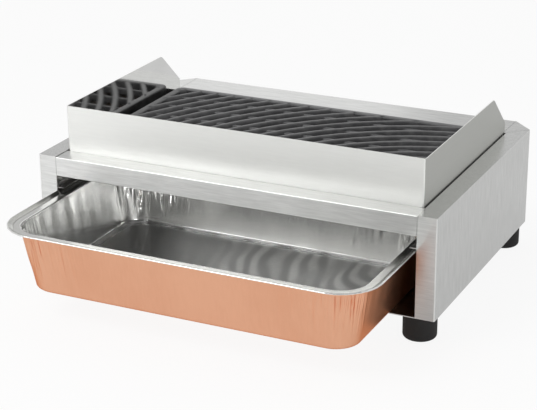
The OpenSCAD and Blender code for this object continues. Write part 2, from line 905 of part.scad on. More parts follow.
module wire_live_left() {
  y = back_y - left_live_back;
  z = control_height - left_live_drop;
  from_x = -thermostat_x - thermostat_w / 2;
  color(brown) wire([
    [from_x, y, z], [-element_last_x, y, z],
    [-element_last_x, y, element_z], [-element_last_x, stud_end_y, element_z]
  ]);
}

module wire_live_right() {
  y = back_y - right_live_back;
  z = control_height + right_live_rise;
  from_x = -thermostat_x + thermostat_w / 2;
  color(brown) wire([
    [from_x, y, z], [element_last_x, y, z],
    [element_last_x, y, element_z], [element_last_x, stud_end_y, element_z]
  ]);
}

module wire_neutral_left() {
  y = back_y - left_neutral_back;
  color(blue) stud_wire(pole_x(1), -element_x, y, control_height - left_neutral_drop);
}

module wire_neutral_right() {
  y = back_y - right_neutral_back;
  color(blue) stud_wire(pole_x(2), element_x, y, control_height - right_neutral_drop);
}

module wire_earth() {
  z = block_top_z + earth_wire_rise;
  color(green) wire([
    [pole_x(3), earth_y, block_top_z], [pole_x(3), earth_y, z],
    [earth_x, earth_y, z], [earth_x, earth_y, floor_z + earth_len]
  ]);
}

// Loose parts

// Outline of a wing seen from the side, with its upper back corner rounded
function wing_outline() = let(
  slope = atan2(screen_h - wing_tail_h, wing_slant),
  peak_y = wing_end_y - wing_slant,
  setback = wing_round * tan(slope / 2),
  steps = 6,
  skirt_y = deck_front_y - wing_skirt_gap
) concat(
  [[screen_y - over, screen_bottom_z], [screen_y - over, screen_top_z]],
  [for (i = [0:steps]) let(a = 90 - slope * i / steps)
    [peak_y - setback + wing_round * cos(a), screen_top_z - wing_round + wing_round * sin(a)]],
  [
    [wing_end_y, deck_z + wing_tail_h], [wing_end_y, deck_z + seat_gap],
    [skirt_y, deck_z + seat_gap], [skirt_y, screen_bottom_z]
  ]
);

module windscreen() {
  depth = wing_end_y - screen_y + 2 * screen_bend;
  middle = screen_y + depth / 2;
  color(polished_steel) placed() intersection() {
    translate([0, middle, screen_bottom_z]) linear_extrude(screen_top_z - screen_bottom_z) difference() {
      rounded_rect(2 * screen_half, depth, screen_bend);
      rounded_rect(2 * (screen_half - screen_t), depth - 2 * screen_t, screen_bend - screen_t);
    }
    rotate([90, 0, 90]) translate([0, 0, -half_w]) linear_extrude(body_w) polygon(wing_outline());
  }
}

module cooking_grid() {
  inner_w = 2 * (grid_half - grid_border);
  inner_d = grid_d - 2 * grid_border;
  bar_z = grid_top_z - bar_h;
  rib_h = bar_h - rib_drop;
  color(black_iron) placed() {
    translate([0, grid_mid_y, grid_bottom_z]) linear_extrude(grid_top_z - grid_bottom_z) difference() {
      rounded_rect(2 * grid_half, grid_d, grid_round);
      square([inner_w, inner_d], center = true);
    }
    translate([0, 0, bar_z]) linear_extrude(bar_h) intersection() {
      translate([0, grid_mid_y]) square([inner_w + grid_border, inner_d + grid_border], center = true);
      for (i = [0:bar_count]) translate(bar_centre) difference() {
        circle(bar_start_r + i * bar_pitch + bar_w / 2, $fn = 360);
        circle(bar_start_r + i * bar_pitch - bar_w / 2, $fn = 360);
      }
    }
    for (i = [0:rib_count - 1]) let(y = grid_mid_y + (i - (rib_count - 1) / 2) * rib_pitch)
      box([-inner_w / 2 - over, y - rib_w / 2, bar_z], [inner_w / 2 + over, y + rib_w / 2, bar_z + rib_h]);
  }
}

// One ring of the tray's skin: rounded rectangle at an inset from the rim's outline
corner_steps = 8;
function tray_ring(inset, z, r) = [
  for (q = [0:3], i = [0:corner_steps]) let(
    a = 90 * q + 90 * i / corner_steps,
    sx = (q == 0 || q == 3) ? 1 : -1,
    sy = q < 2 ? 1 : -1
  ) [
    sx * (tray_w / 2 - inset - r) + r * cos(a),
    sy * (tray_d / 2 - inset - r) + r * sin(a),
    z
  ]
];

// Section of the tray from the middle of its underside, round the rim, to the middle of its inside
function tray_section() = let(
  foot_in = rim_w + tray_taper,
  bead_r = bead_d / 2,
  diagonal = 1 - sqrt(0.5),
  crease_z = tray_h - rim_drop,
  crease_in = bead_d + rim_slope,
  inner_fillet = tray_fillet - tray_t
) [
  [foot_in + tray_fillet, 0, tray_bottom_r - tray_fillet / 2],
  [foot_in + tray_fillet * diagonal, tray_fillet * diagonal, tray_bottom_r],
  [foot_in, tray_fillet, tray_bottom_r],
  [rim_w, crease_z - tray_t, rim_r - rim_w],
  [crease_in, crease_z - tray_t, rim_r - crease_in],
  [bead_d, tray_h - bead_d, rim_r - bead_d],
  [bead_r, tray_h - bead_d, rim_r - bead_r],
  [bead_r * diagonal, tray_h - bead_d + bead_r * diagonal, rim_r],
  [0, tray_h - bead_r, rim_r],
  [bead_r * diagonal, tray_h - bead_r * diagonal, rim_r],
  [bead_r, tray_h, rim_r - bead_r],
  [bead_d - bead_r * diagonal, tray_h - bead_r * diagonal, rim_r - bead_d],
  [crease_in, crease_z, rim_r - crease_in],
  [rim_w, crease_z, rim_r - rim_w],
  [rim_w + 2 * tray_t, crease_z - tray_t, rim_r - rim_w - tray_t],
  [foot_in + tray_t, tray_fillet, tray_bottom_r - tray_t],
  [foot_in + tray_t + inner_fillet * diagonal, tray_t + inner_fillet * diagonal, tray_bottom_r - tray_t],
  [foot_in + tray_fillet, tray_t, tray_bottom_r - tray_fillet / 2]
];

module drip_tray() {
  section = tray_section();
  around = 4 * (corner_steps + 1);
  rows = len(section);
  points = [for (s = section) each tray_ring(s[0], s[1], s[2])];
  sides = [
    for (k = [0:rows - 2], i = [0:around - 1]) let(
      a = k * around + i, b = k * around + (i + 1) % around
    ) each [[a, a + around, b], [b, a + around, b + around]]
  ];
  bottom = [[for (i = [0:around - 1]) i]];
  inside = [[for (i = [around - 1:-1:0]) (rows - 1) * around + i]];
  color(copper_tone) placed() translate([0, tray_front_y + tray_d / 2, tray_z])
    polyhedron(points, concat(bottom, sides, inside));
}

base_plate();
side_panel_left();
side_panel_right();
side_liner_left();
side_liner_right();
front_rail();
rear_panel();
bulkhead();
support_frame();
tray_guide_left();
tray_guide_right();
foot_front_left();
foot_front_right();
foot_rear_left();
foot_rear_right();
foot_screws();
foot_nuts();
rear_panel_screws();
heating_element_left();
heating_element_right();
element_straps();
element_collars();
element_nuts();
element_insulators();
element_terminals();
thermostat_body();
thermostat_nut();
dial_plate();
sensor_bulb();
capillary_tube();
pilot_lamp_body();
pilot_lamp_lens();
lamp_leads();
terminal_block();
terminal_screws();
earth_stud();
earth_nuts();
gland_body();
gland_lock_nut();
gland_dome_nut();
gland_seal();
wire_live_supply();
wire_live_left();
wire_live_right();
wire_neutral_left();
wire_neutral_right();
wire_earth();
thermostat_spindle();
thermostat_knob();
windscreen();
cooking_grid();
drip_tray();
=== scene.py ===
"""Looks of a table-top electric grill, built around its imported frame.

Lengths are metres in the frame of the part: +X to the right, -Y to the front, +Z up.
"""

import logging
import math
import random
from dataclasses import dataclass
from enum import Enum, IntEnum
from typing import Iterable, Optional, Sequence, Union

import bmesh
import bpy
import numpy as np
from mathutils import Matrix, Vector


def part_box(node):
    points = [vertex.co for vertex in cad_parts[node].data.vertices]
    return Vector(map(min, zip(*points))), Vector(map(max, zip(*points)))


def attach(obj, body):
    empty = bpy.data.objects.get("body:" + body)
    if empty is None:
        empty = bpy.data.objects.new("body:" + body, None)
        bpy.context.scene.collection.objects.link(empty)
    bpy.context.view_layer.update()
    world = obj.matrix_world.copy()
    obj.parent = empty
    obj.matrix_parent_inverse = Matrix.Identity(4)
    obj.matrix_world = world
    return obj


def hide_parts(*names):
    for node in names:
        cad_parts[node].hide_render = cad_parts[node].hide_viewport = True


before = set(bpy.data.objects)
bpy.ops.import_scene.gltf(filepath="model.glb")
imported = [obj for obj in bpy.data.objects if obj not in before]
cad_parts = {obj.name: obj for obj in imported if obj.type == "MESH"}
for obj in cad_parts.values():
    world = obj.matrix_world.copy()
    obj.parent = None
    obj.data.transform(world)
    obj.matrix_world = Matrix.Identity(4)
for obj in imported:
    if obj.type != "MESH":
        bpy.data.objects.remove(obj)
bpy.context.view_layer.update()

LOG = logging.getLogger("grill")
MM = 0.001
Point = tuple[float, float, float]
Colour = tuple[float, float, float]
Value = Union["Signal", float, int, bool, str, Sequence, bpy.types.ID]


# Node trees

class Signal:
    """One output socket, with arithmetic that adds Math nodes to its tree."""

    def __init__(self, graph: "Graph", socket: Optional[bpy.types.NodeSocket]) -> None:
        """Keep the socket and the graph that it belongs to."""
        self.graph = graph
        self.socket = socket

    def _math(self, operation: str, first: Value, second: Value = 0.0) -> "Signal":
        """Add one Math node and return its result."""
        return self.graph.node("ShaderNodeMath", {"operation": operation}, {0: first, 1: second})

    def __add__(self, other: Value) -> "Signal":
        """Return self + other."""
        return self._math("ADD", self, other)

    def __radd__(self, other: Value) -> "Signal":
        """Return other + self."""
        return self._math("ADD", other, self)

    def __sub__(self, other: Value) -> "Signal":
        """Return self - other."""
        return self._math("SUBTRACT", self, other)

    def __rsub__(self, other: Value) -> "Signal":
        """Return other - self."""
        return self._math("SUBTRACT", other, self)

    def __mul__(self, other: Value) -> "Signal":
        """Return self * other."""
        return self._math("MULTIPLY", self, other)

    def __rmul__(self, other: Value) -> "Signal":
        """Return other * self."""
        return self._math("MULTIPLY", other, self)

    def __truediv__(self, other: Value) -> "Signal":
        """Return self / other."""
        return self._math("DIVIDE", self, other)

    def __gt__(self, other: Value) -> "Signal":
        """Return 1 where self is above other, and 0 elsewhere."""
        return self._math("GREATER_THAN", self, other)

    def __abs__(self) -> "Signal":
        """Return the size of self without its sign."""
        return self._math("ABSOLUTE", self)

    def largest(self, other: Value) -> "Signal":
        """Return the larger of self and other."""
        return self._math("MAXIMUM", self, other)

    def sine(self) -> "Signal":
        """Return the sine of self."""
        return self._math("SINE", self)


class Graph:
    """A node tree under construction: a material's, the world's or a modifier's."""

    def __init__(self, tree: bpy.types.NodeTree) -> None:
        """Start from an empty tree."""
        self.tree = tree
        tree.nodes.clear()

    def node(self, kind: str, settings: Optional[dict] = None, sockets: Optional[dict] = None,
             out: Union[int, str] = 0) -> Signal:
        """Add a node of any kind.

        Args:
            kind: Blender's name of the node type.
            settings: The node's own properties, set first.
            sockets: Values or links of its inputs, by index, identifier or name.
            out: The output to return.

        Returns:
            The chosen output.
        """
        item = self.tree.nodes.new(kind)
        for key, value in (settings or {}).items():
            setattr(item, key, value)
        for key, value in (sockets or {}).items():
            self.feed(self._find(item.inputs, key), value)
        return Signal(self, self._find(item.outputs, out) if len(item.outputs) else None)

    @staticmethod
    def _find(sockets: bpy.types.bpy_prop_collection, key: Union[int, str]) -> bpy.types.NodeSocket:
        """Return a socket by its index, its identifier or its name."""
        if isinstance(key, int):
            return sockets[key]
        for socket in sockets:
            if socket.identifier == key:
                return socket
        return sockets[key]

    def feed(self, target: bpy.types.NodeSocket, value: Value) -> None:
        """Link a signal, or several signals, to an input, or set its value."""
        if isinstance(value, Signal):
            self.tree.links.new(value.socket, target)
        elif isinstance(value, (list, tuple)) and value and isinstance(value[0], Signal):
            for signal in value:
                self.tree.links.new(signal.socket, target)
        else:
            target.default_value = value

    def span(self, signal: Value, low: float, high: float, to_low: float = 0.0, to_high: float = 1.0
             ) -> Signal:
        """Return a signal moved from one range to another, clamped, with soft ends."""
        return self.node("ShaderNodeMapRange", {"interpolation_type": "SMOOTHSTEP"}, {
            "Value": signal, "From Min": low, "From Max": high, "To Min": to_low, "To Max": to_high,
        })

    def vector_math(self, operation: str, first: Value, second: Value = (0.0, 0.0, 0.0),
                    out: Union[int, str] = 0) -> Signal:
        """Add one Vector Math node and return its result."""
        return self.node("ShaderNodeVectorMath", {"operation": operation}, {0: first, 1: second}, out)


class Noise(Enum):
    """A kind of noise: its detail and its roughness."""

    SOFT = (1.0, 0.5)
    PLAIN = (2.0, 0.5)
    MOTTLED = (3.0, 0.5)
    COARSE = (3.0, 0.6)


class Paint(Graph):
    """The node tree of one material."""

    def __init__(self, name: str) -> None:
        """Start a material with an empty tree."""
        self.material = bpy.data.materials.new(name)
        self.material.use_nodes = True
        super().__init__(self.material.node_tree)

    def place(self, scale: Sequence[float] = (1, 1, 1)) -> Signal:
        """Return the piece's own coordinates, stretched by a scale on each axis."""
        return self.vector_math("MULTIPLY", self.node("ShaderNodeTexCoord", out="Object"), tuple(scale))

    def part(self, axis: int) -> Signal:
        """Return one of the piece's own coordinates."""
        return self.node("ShaderNodeSeparateXYZ", None, {0: self.place()}, axis)

    def noise(self, scale: Union[float, Sequence[float]], kind: Noise = Noise.PLAIN, warp: float = 0.0
              ) -> Signal:
        """Return noise from 0 to 1 over the piece.

        Args:
            scale: Its waves to the metre, on all axes or on each.
            kind: How much fine detail it has.
            warp: How far it is distorted.

        Returns:
            The noise.
        """
        detail, roughness = kind.value
        where = self.place(scale if isinstance(scale, (list, tuple)) else [scale] * 3)
        return self.node("ShaderNodeTexNoise", None, {
            "Vector": where, "Scale": 1.0, "Detail": detail, "Roughness": roughness, "Distortion": warp,
        })

    def blend(self, share: Value, first: Value, second: Value) -> Signal:
        """Return a colour between two colours."""
        colours = [(*c, 1.0) if isinstance(c, tuple) else c for c in (first, second)]
        return self.node("ShaderNodeMix", {"data_type": "RGBA"}, {
            "Factor_Float": share, "A_Color": colours[0], "B_Color": colours[1],
        }, "Result_Color")

    def bump(self, height: Signal, depth: float, strength: float = 1.0, under: Optional[Signal] = None
             ) -> Signal:
        """Return a normal for a height from 0 to 1 that stands for a real depth."""
        sockets = {"Strength": strength, "Distance": depth, "Height": height}
        if under is not None:
            sockets["Normal"] = under
        return self.node("ShaderNodeBump", None, sockets)

    def surface(self, colour: Value, roughness: Value, normal: Optional[Signal] = None, **constants: float
                ) -> bpy.types.Material:
        """Finish the material with one principled shader.

        Args:
            colour: Base colour.
            roughness: Roughness.
            normal: Normal, if it isn't the mesh's own.
            constants: Other sockets, by name with underscores, the same all over.

        Returns:
            The finished material.
        """
        base = (*colour, 1.0) if isinstance(colour, tuple) else colour
        sockets = {"Base Color": base, "Roughness": roughness}
        sockets.update({key.replace("_", " "): value for key, value in constants.items()})
        if normal is not None:
            sockets["Normal"] = normal
        shader = self.node("ShaderNodeBsdfPrincipled", None, sockets)
        self.node("ShaderNodeOutputMaterial", None, {"Surface": shader})
        return self.material


# Finishes

PATCHES = (0.35, 0.7)


class Grain(Enum):
    """Direction in which a sheet was brushed: fine across it, long along it."""

    ALONG_X = (0.02, 1.0, 1.0)
    ALONG_Y = (1.0, 0.02, 1.0)
    ALONG_Z = (1.0, 1.0, 0.02)


@dataclass(frozen=True)
class Finish:
    """A surface finish under one name."""

    name: str

    def material(self) -> bpy.types.Material:
        """Return the finish's material, made at its first use."""
        found = bpy.data.materials.get(self.name)
        return found if found is not None else self.make(Paint(self.name))

    def make(self, paint: Paint) -> bpy.types.Material:
        """Build the material; each finish has its own."""
        raise NotImplementedError(self.name)


def shaded(tone: Colour, share: float, lift: float = 0.0) -> Colour:
    """Return a tone at a share of its brightness, lifted a little."""
    return tuple(share * c + lift for c in tone)


@dataclass(frozen=True)
class BrushedSteel(Finish):
    """Stainless sheet with a brushed grain."""

    tone: Colour = (0.665, 0.668, 0.658)
    gloss: float = 0.29
    grain: Grain = Grain.ALONG_Z
    shade: float = 0.82
    drag: float = 0.0
    scratch: float = 0.00002
    fine_scale: float = 1500
    wide_scale: float = 300
    wide_least: float = 0.1
    fine_share: float = 0.45

    def make(self, paint: Paint) -> bpy.types.Material:
        """Build streaks in tone and gloss, and a fine brushed bump."""
        fine = paint.noise([self.fine_scale * s for s in self.grain.value])
        wide_scales = [self.wide_scale * max(s, self.wide_least) for s in self.grain.value]
        wide = paint.noise(wide_scales, Noise.COARSE)
        cloud = paint.noise(7)
        streak = fine * self.fine_share + wide * (1 - self.fine_share)
        colour = paint.blend(paint.span(streak, 0.3, 0.7), shaded(self.tone, self.shade), self.tone)
        roughness = self.gloss - 0.04 + 0.05 * wide + 0.04 * cloud
        normal = paint.bump(streak, self.scratch, 0.5)
        return paint.surface(colour, roughness, normal, Metallic=1.0, Anisotropic=self.drag,
                             Anisotropic_Rotation=0.25)


@dataclass(frozen=True)
class PolishedSteel(Finish):
    """Stainless sheet polished to a mirror, with faint wipe marks."""

    tone: Colour = (0.74, 0.74, 0.73)
    gloss: float = 0.03
    wave_depth: float = 0.0002

    def make(self, paint: Paint) -> bpy.types.Material:
        """Build a mirror with a slow wave and hazy patches."""
        haze = paint.span(paint.noise((16, 16, 22), Noise.COARSE, 0.4), 0.35, 0.75)
        wave = paint.noise((5, 5, 7), Noise.SOFT)
        lines = paint.noise((40, 40, 900))
        colour = paint.blend(haze, self.tone, shaded(self.tone, 0.95))
        roughness = self.gloss + 0.02 * haze + 0.01 * lines
        return paint.surface(colour, roughness, paint.bump(wave, self.wave_depth, 0.3), Metallic=1.0)


@dataclass(frozen=True)
class BrightFoil(Finish):
    """Bare pressed aluminium, bright and smooth, with slow buckles and, on a floor, painted reflections:
    lighter and darker bent streaks in its colour.
    """

    tone: Colour = (0.88, 0.88, 0.865)
    gloss: float = 0.19
    buckle: float = 0.0010
    # How much darker the painted reflection streaks make the colour at their darkest
    painted_reflection: float = 0.0
    streak_depth: float = 0.00003
    painted_reflection_way: tuple[float, float] = (0.93, 0.36)
    painted_reflection_gap: float = 0.0235
    painted_reflection_bend: float = 19.0
    painted_reflection_fade: tuple[float, float] = (-0.12, -0.01)
    painted_reflection_mean: float = 0.4

    def make(self, paint: Paint) -> bpy.types.Material:
        """Build a bright metal with drawing streaks, slow buckles and painted reflection streaks."""
        streak = paint.noise((230, 230, 14), Noise.COARSE)
        buckle = paint.noise((26, 26, 4), Noise.SOFT)
        slow = paint.noise((14, 14, 10))
        colour = paint.blend(paint.span(streak, 0.3, 0.75), shaded(self.tone, 0.93), self.tone)
        roughness = self.gloss - 0.03 + 0.05 * streak + 0.04 * slow
        # On a floor the colour is made lighter and darker in bent streaks: painted reflection
        if self.painted_reflection > 0:
            colour = paint.blend(self._painted_reflections(paint), shaded(self.tone, 1 - self.painted_reflection), colour)
        normal = paint.bump(streak, self.streak_depth, 0.3, paint.bump(buckle, self.buckle))
        return paint.surface(colour, roughness, normal, Metallic=1.0)

    def _painted_reflections(self, paint: Paint) -> Signal:
        """Return soft bent streaks of painted reflection from the back to the front that fade out towards the
        left.
        """
        x, y = paint.part(0), paint.part(1)
        bend = paint.noise((10, 6, 0), Noise.SOFT)
        uneven = paint.noise((21, 7, 0), Noise.SOFT)
        across = x * self.painted_reflection_way[0] + y * self.painted_reflection_way[1]
        wave = (across * (2 * math.pi / self.painted_reflection_gap) + bend * self.painted_reflection_bend).sine()
        shown = paint.span(x, *self.painted_reflection_fade) * paint.span(uneven, 0.36, 0.6, 0.2, 1.0)
        return self.painted_reflection_mean + shown * (paint.span(wave, -1.0, 1.0, 0.1, 1.0) - self.painted_reflection_mean)


@dataclass(frozen=True)
class LacqueredFoil(Finish):
    """Aluminium with a copper-coloured lacquer."""

    tone: Colour = (0.90, 0.50, 0.325)
    deep: Colour = (0.85, 0.45, 0.285)
    edge: Colour = (0.72, 0.30, 0.18)
    gloss: float = 0.33
    streak_depth: float = 0.00004
    swell_depth: float = 0.001

    def make(self, paint: Paint) -> bpy.types.Material:
        """Build a satin copper tone with upright drawing streaks."""
        streak = paint.noise((300, 300, 9), Noise.COARSE)
        cloud = paint.noise((11, 11, 8), Noise.COARSE)
        share = paint.span(streak * 0.3 + cloud * 0.7, 0.32, 0.68)
        colour = paint.blend(share, self.deep, self.tone)
        roughness = self.gloss - 0.04 + 0.09 * cloud + 0.05 * streak
        normal = paint.bump(streak, self.streak_depth, 0.35, paint.bump(cloud, self.swell_depth, 0.2))
        return paint.surface(colour, roughness, normal, Metallic=1.0, Specular_Tint=(*self.edge, 1.0))


@dataclass(frozen=True)
class Enamel(Finish):
    """Dark enamel over cast iron."""

    tone: Colour = (0.072, 0.072, 0.074)
    worn: Colour = (0.112, 0.112, 0.114)
    gloss: float = 0.31
    pit_depth: float = 0.00018
    swell_depth: float = 0.0006

    def make(self, paint: Paint) -> bpy.types.Material:
        """Build a dark semi-gloss skin with the pitted bump of the casting."""
        pits = paint.noise(520, Noise.COARSE)
        swell = paint.noise(70)
        colour = paint.blend(paint.span(swell, *PATCHES), self.tone, self.worn)
        roughness = self.gloss - 0.06 + 0.1 * swell + 0.08 * pits
        normal = paint.bump(pits, self.pit_depth, 0.5, paint.bump(swell, self.swell_depth, 0.3))
        return paint.surface(colour, roughness, normal)


@dataclass(frozen=True)
class Moulded(Finish):
    """Moulded rubber or plastic with a fine grain."""

    tone: Colour = (0.03, 0.03, 0.031)
    gloss: float = 0.45
    grain_depth: float = 0.00006

    def make(self, paint: Paint) -> bpy.types.Material:
        """Build an even colour with a grained bump and slight wear."""
        grit = paint.noise(1500)
        cloud = paint.noise(55, Noise.MOTTLED)
        colour = paint.blend(paint.span(cloud, *PATCHES), self.tone, shaded(self.tone, 1.35, 0.004))
        roughness = self.gloss - 0.05 + 0.08 * cloud + 0.05 * grit
        return paint.surface(colour, roughness, paint.bump(grit, self.grain_depth, 0.6))


@dataclass(frozen=True)
class TurnedMetal(Finish):
    """Turned or plated small metal parts."""

    tone: Colour = (0.60, 0.60, 0.59)
    gloss: float = 0.28
    mark_depth: float = 0.00003

    def make(self, paint: Paint) -> bpy.types.Material:
        """Build a metal with fine tool marks and duller patches."""
        marks = paint.noise((1800, 260, 1800))
        cloud = paint.noise(120, Noise.MOTTLED)
        colour = paint.blend(paint.span(cloud, *PATCHES), self.tone, shaded(self.tone, 0.8))
        roughness = self.gloss - 0.04 + 0.1 * cloud + 0.06 * marks
        return paint.surface(colour, roughness, paint.bump(marks, self.mark_depth, 0.5), Metallic=1.0)


@dataclass(frozen=True)
class HeatedSteel(Finish):
    """Element tube darkened and tinted by heat."""

    tone: Colour = (0.11, 0.105, 0.10)
    tint: Colour = (0.20, 0.15, 0.11)
    gloss: float = 0.38
    grit_depth: float = 0.00008

    def make(self, paint: Paint) -> bpy.types.Material:
        """Build a dull oxide skin with brown bands along the tube."""
        bands = paint.noise((30, 18, 30), Noise.COARSE)
        grit = paint.noise(900)
        colour = paint.blend(paint.span(bands, 0.42, 0.68), self.tone, self.tint)
        roughness = self.gloss + 0.16 * grit
        return paint.surface(colour, roughness, paint.bump(grit, self.grit_depth, 0.5), Metallic=0.6)


@dataclass(frozen=True)
class ClearLens(Finish):
    """Amber lens with a faceted inside."""

    tone: Colour = (0.85, 0.27, 0.03)
    gloss: float = 0.12
    cell_scale: float = 520
    cell_depth: float = 0.0003

    def make(self, paint: Paint) -> bpy.types.Material:
        """Build a deep amber plastic with faint inner facets."""
        where = paint.place([self.cell_scale] * 3)
        cells = paint.node("ShaderNodeTexVoronoi", None, {"Vector": where, "Scale": 1.0})
        colour = paint.blend(paint.span(cells, 0.0, 0.8), self.tone, shaded(self.tone, 0.72))
        normal = paint.bump(cells, self.cell_depth, 0.4)
        return paint.surface(colour, self.gloss + 0.1 * cells, normal, Transmission_Weight=0.25, IOR=1.49)


OUTER_STEEL = BrushedSteel("brushed_steel_upright", gloss=0.25)
# Bends of the outer sheets in a brighter tone: a painted highlight
BEND_HIGHLIGHT_STEEL = BrushedSteel("steel_bend_painted_highlight", (0.86, 0.865, 0.85), 0.3)
RAIL_STEEL = BrushedSteel("brushed_steel_along", gloss=0.24, grain=Grain.ALONG_X)
RAIL_TOP = BrushedSteel("brushed_steel_rail", gloss=0.33, grain=Grain.ALONG_X)
RAIL_FRONT = BrushedSteel("brushed_steel_front", gloss=0.35, grain=Grain.ALONG_X, drag=0.85)
INNER_STEEL = BrushedSteel("mill_steel", (0.45, 0.44, 0.43), 0.38, Grain.ALONG_Y, 0.85)
SCREEN_STEEL = PolishedSteel("polished_steel", gloss=0.06)
SATIN_STEEL = BrushedSteel("satin_steel", (0.92, 0.925, 0.90), 0.43, Grain.ALONG_X, 0.97)
# The same satin sheet in a darker tone on the wings' outer faces: painted shade
WING_SHADE_STEEL = BrushedSteel("satin_steel_wing_painted_shade", (0.50, 0.505, 0.48), 0.4, Grain.ALONG_Y, 0.97)
GRID_ENAMEL = Enamel("grid_enamel")
TRAY_INSIDE = BrightFoil("bright_foil")
# The tray floor's colour carries painted reflection streaks, lighter and darker
TRAY_FLOOR = BrightFoil("bright_foil_floor", (0.96, 0.96, 0.945), 0.28, 0.0001, 0.45)
# The rim's ridge and sloping band: a darker copy of the same foil, painted shade
TRAY_RIM_SHADE = BrightFoil("bright_foil_rim_painted_shade", (0.64, 0.64, 0.62), 0.2, 0.0001)
TRAY_BEAD = BrightFoil("bright_foil_bead", gloss=0.22, buckle=0.0001)
TRAY_OUTSIDE = LacqueredFoil("copper_lacquer")
FOOT_RUBBER = Moulded("foot_rubber", (0.062, 0.060, 0.059), 0.21)
BLACK_PLASTIC = Moulded("black_plastic", (0.020, 0.020, 0.021), 0.42, 0.0001)
SEAL_RUBBER = Moulded("seal_rubber", (0.05, 0.05, 0.05), 0.6)
WHITE_CERAMIC = Moulded("white_ceramic", (0.78, 0.75, 0.68), 0.5)
DIAL_PAINT = Moulded("dial_paint", (0.03, 0.03, 0.032), 0.5)
POINTER_PAINT = Moulded("pointer_paint", (0.85, 0.85, 0.83), 0.4)
PLATED_STEEL = TurnedMetal("plated_steel")
TURNED_BRASS = TurnedMetal("turned_brass", (0.74, 0.56, 0.27), 0.26)
ELEMENT_STEEL = HeatedSteel("heated_steel")
AMBER_LENS = ClearLens("amber_lens")
BROWN_SLEEVE = Moulded("brown_sleeve", (0.16, 0.07, 0.03), 0.5)
BLUE_SLEEVE = Moulded("blue_sleeve", (0.05, 0.14, 0.42), 0.5)
GREEN_SLEEVE = Moulded("green_sleeve", (0.16, 0.34, 0.05), 0.5)
GREY_SLEEVE = Moulded("grey_sleeve", (0.42, 0.42, 0.40), 0.5)


# Meshes

SMOOTH_ANGLE = math.radians(32)
FLAT_ANGLE = math.radians(0.4)
MERGE = 1e-6


def linked(name: str, data: bpy.types.ID) -> bpy.types.Object:
    """Return a new object with this data, linked to the scene."""
    item = bpy.data.objects.new(name, data)
    bpy.context.scene.collection.objects.link(item)
    return item


def new_object(name: str, mesh: bpy.types.Mesh, finishes: Sequence[Finish]) -> bpy.types.Object:
    """Link a mesh as an object with its finishes and smooth shading up to an angle.

    Args:
        name: Name of the piece.
        mesh: Its mesh, with its place in its points.
        finishes: One finish for each material index of the mesh.

    Returns:
        The linked object.
    """
    while len(mesh.materials) < len(finishes):
        mesh.materials.append(None)
    for index, finish in enumerate(finishes):
        mesh.materials[index] = finish.material()
    mesh.polygons.foreach_set("use_smooth", [True] * len(mesh.polygons))
    mesh.set_sharp_from_angle(angle=SMOOTH_ANGLE)
    return linked(name, mesh)


def settle(piece: bpy.types.Object, body: str, nodes: Sequence[str] = ()) -> bpy.types.Object:
    """Tie a finished piece to its body and the nodes that it stands for.

    Args:
        piece: The finished piece.
        body: The body that it moves with.
        nodes: The nodes that it replaces, if any.

    Returns:
        The same piece.
    """
    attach(piece, body)
    if nodes:
        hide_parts(*nodes)
    LOG.info("%s rides on %s: %d faces", piece.name, body, len(piece.data.polygons))
    return piece


def firm_normals(piece: bpy.types.Object) -> None:
    """Let the large flat faces of a piece keep their own normals beside its narrow bends."""
    modifier = piece.modifiers.new("firm_normals", "WEIGHTED_NORMAL")
    modifier.mode = "FACE_AREA"
    modifier.weight = 100
    modifier.keep_sharp = True
    shown = piece.evaluated_get(bpy.context.evaluated_depsgraph_get())
    mesh = bpy.data.meshes.new_from_object(shown)
    piece.modifiers.clear()
    piece.data = mesh


def dress_node(node: str, finish: Finish) -> None:
    """Give a carried-over node its finish."""
    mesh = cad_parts[node].data
    mesh.materials.clear()
    mesh.materials.append(finish.material())
    LOG.info("%s keeps its solid, in %s", node, finish.name)


def merged_copy(node: str) -> bmesh.types.BMesh:
    """Return a welded copy of a node's mesh with its flat faces joined."""
    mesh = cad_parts[node].data.copy()
    mesh.attributes.remove(mesh.attributes["custom_normal"])
    work = bmesh.new()
    work.from_mesh(mesh)
    bpy.data.meshes.remove(mesh)
    bmesh.ops.remove_doubles(work, verts=work.verts, dist=MERGE)
    bmesh.ops.dissolve_limit(work, angle_limit=FLAT_ANGLE, verts=work.verts, edges=work.edges)
    return work


def to_mesh(name: str, work: bmesh.types.BMesh) -> bpy.types.Mesh:
    """Turn a finished edit mesh into a plain mesh."""
    mesh = bpy.data.meshes.new(name)
    work.to_mesh(mesh)
    work.free()
    return mesh


class Side(Enum):
    """An outer side of a piece's box: axis, and 0 for its low or 1 for its high end."""

    LEFT = (0, 0)
    RIGHT = (0, 1)
    FRONT = (1, 0)
    BACK = (1, 1)
    BOTTOM = (2, 0)
    TOP = (2, 1)


def bend_edges(work: bmesh.types.BMesh, node: str, sides: Iterable[Side], radius: float, steps: int = 3,
               finish_index: int = 0) -> None:
    """Round the edges where two of the given sides of a node's box meet.

    Args:
        work: The edit mesh.
        node: The node whose box is meant.
        sides: The sides between which the sheet is bent.
        radius: Radius of the bend.
        steps: Faces across the bend.
        finish_index: Material index of the bend's faces.
    """
    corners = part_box(node)
    planes = [(side.value[0], corners[side.value[1]][side.value[0]]) for side in sides]

    def on_two(edge: bmesh.types.BMEdge) -> bool:
        """Tell whether an edge lies on two of the planes."""
        return sum(all(abs(v.co[axis] - at) < 10 * MERGE for v in edge.verts) for axis, at in planes) >= 2

    chosen = [edge for edge in work.edges if on_two(edge)]
    bent = bmesh.ops.bevel(work, geom=chosen, offset=radius, offset_type="OFFSET", segments=steps,
                           profile=0.5, affect="EDGES", clamp_overlap=True)
    for face in bent["faces"]:
        face.material_index = finish_index


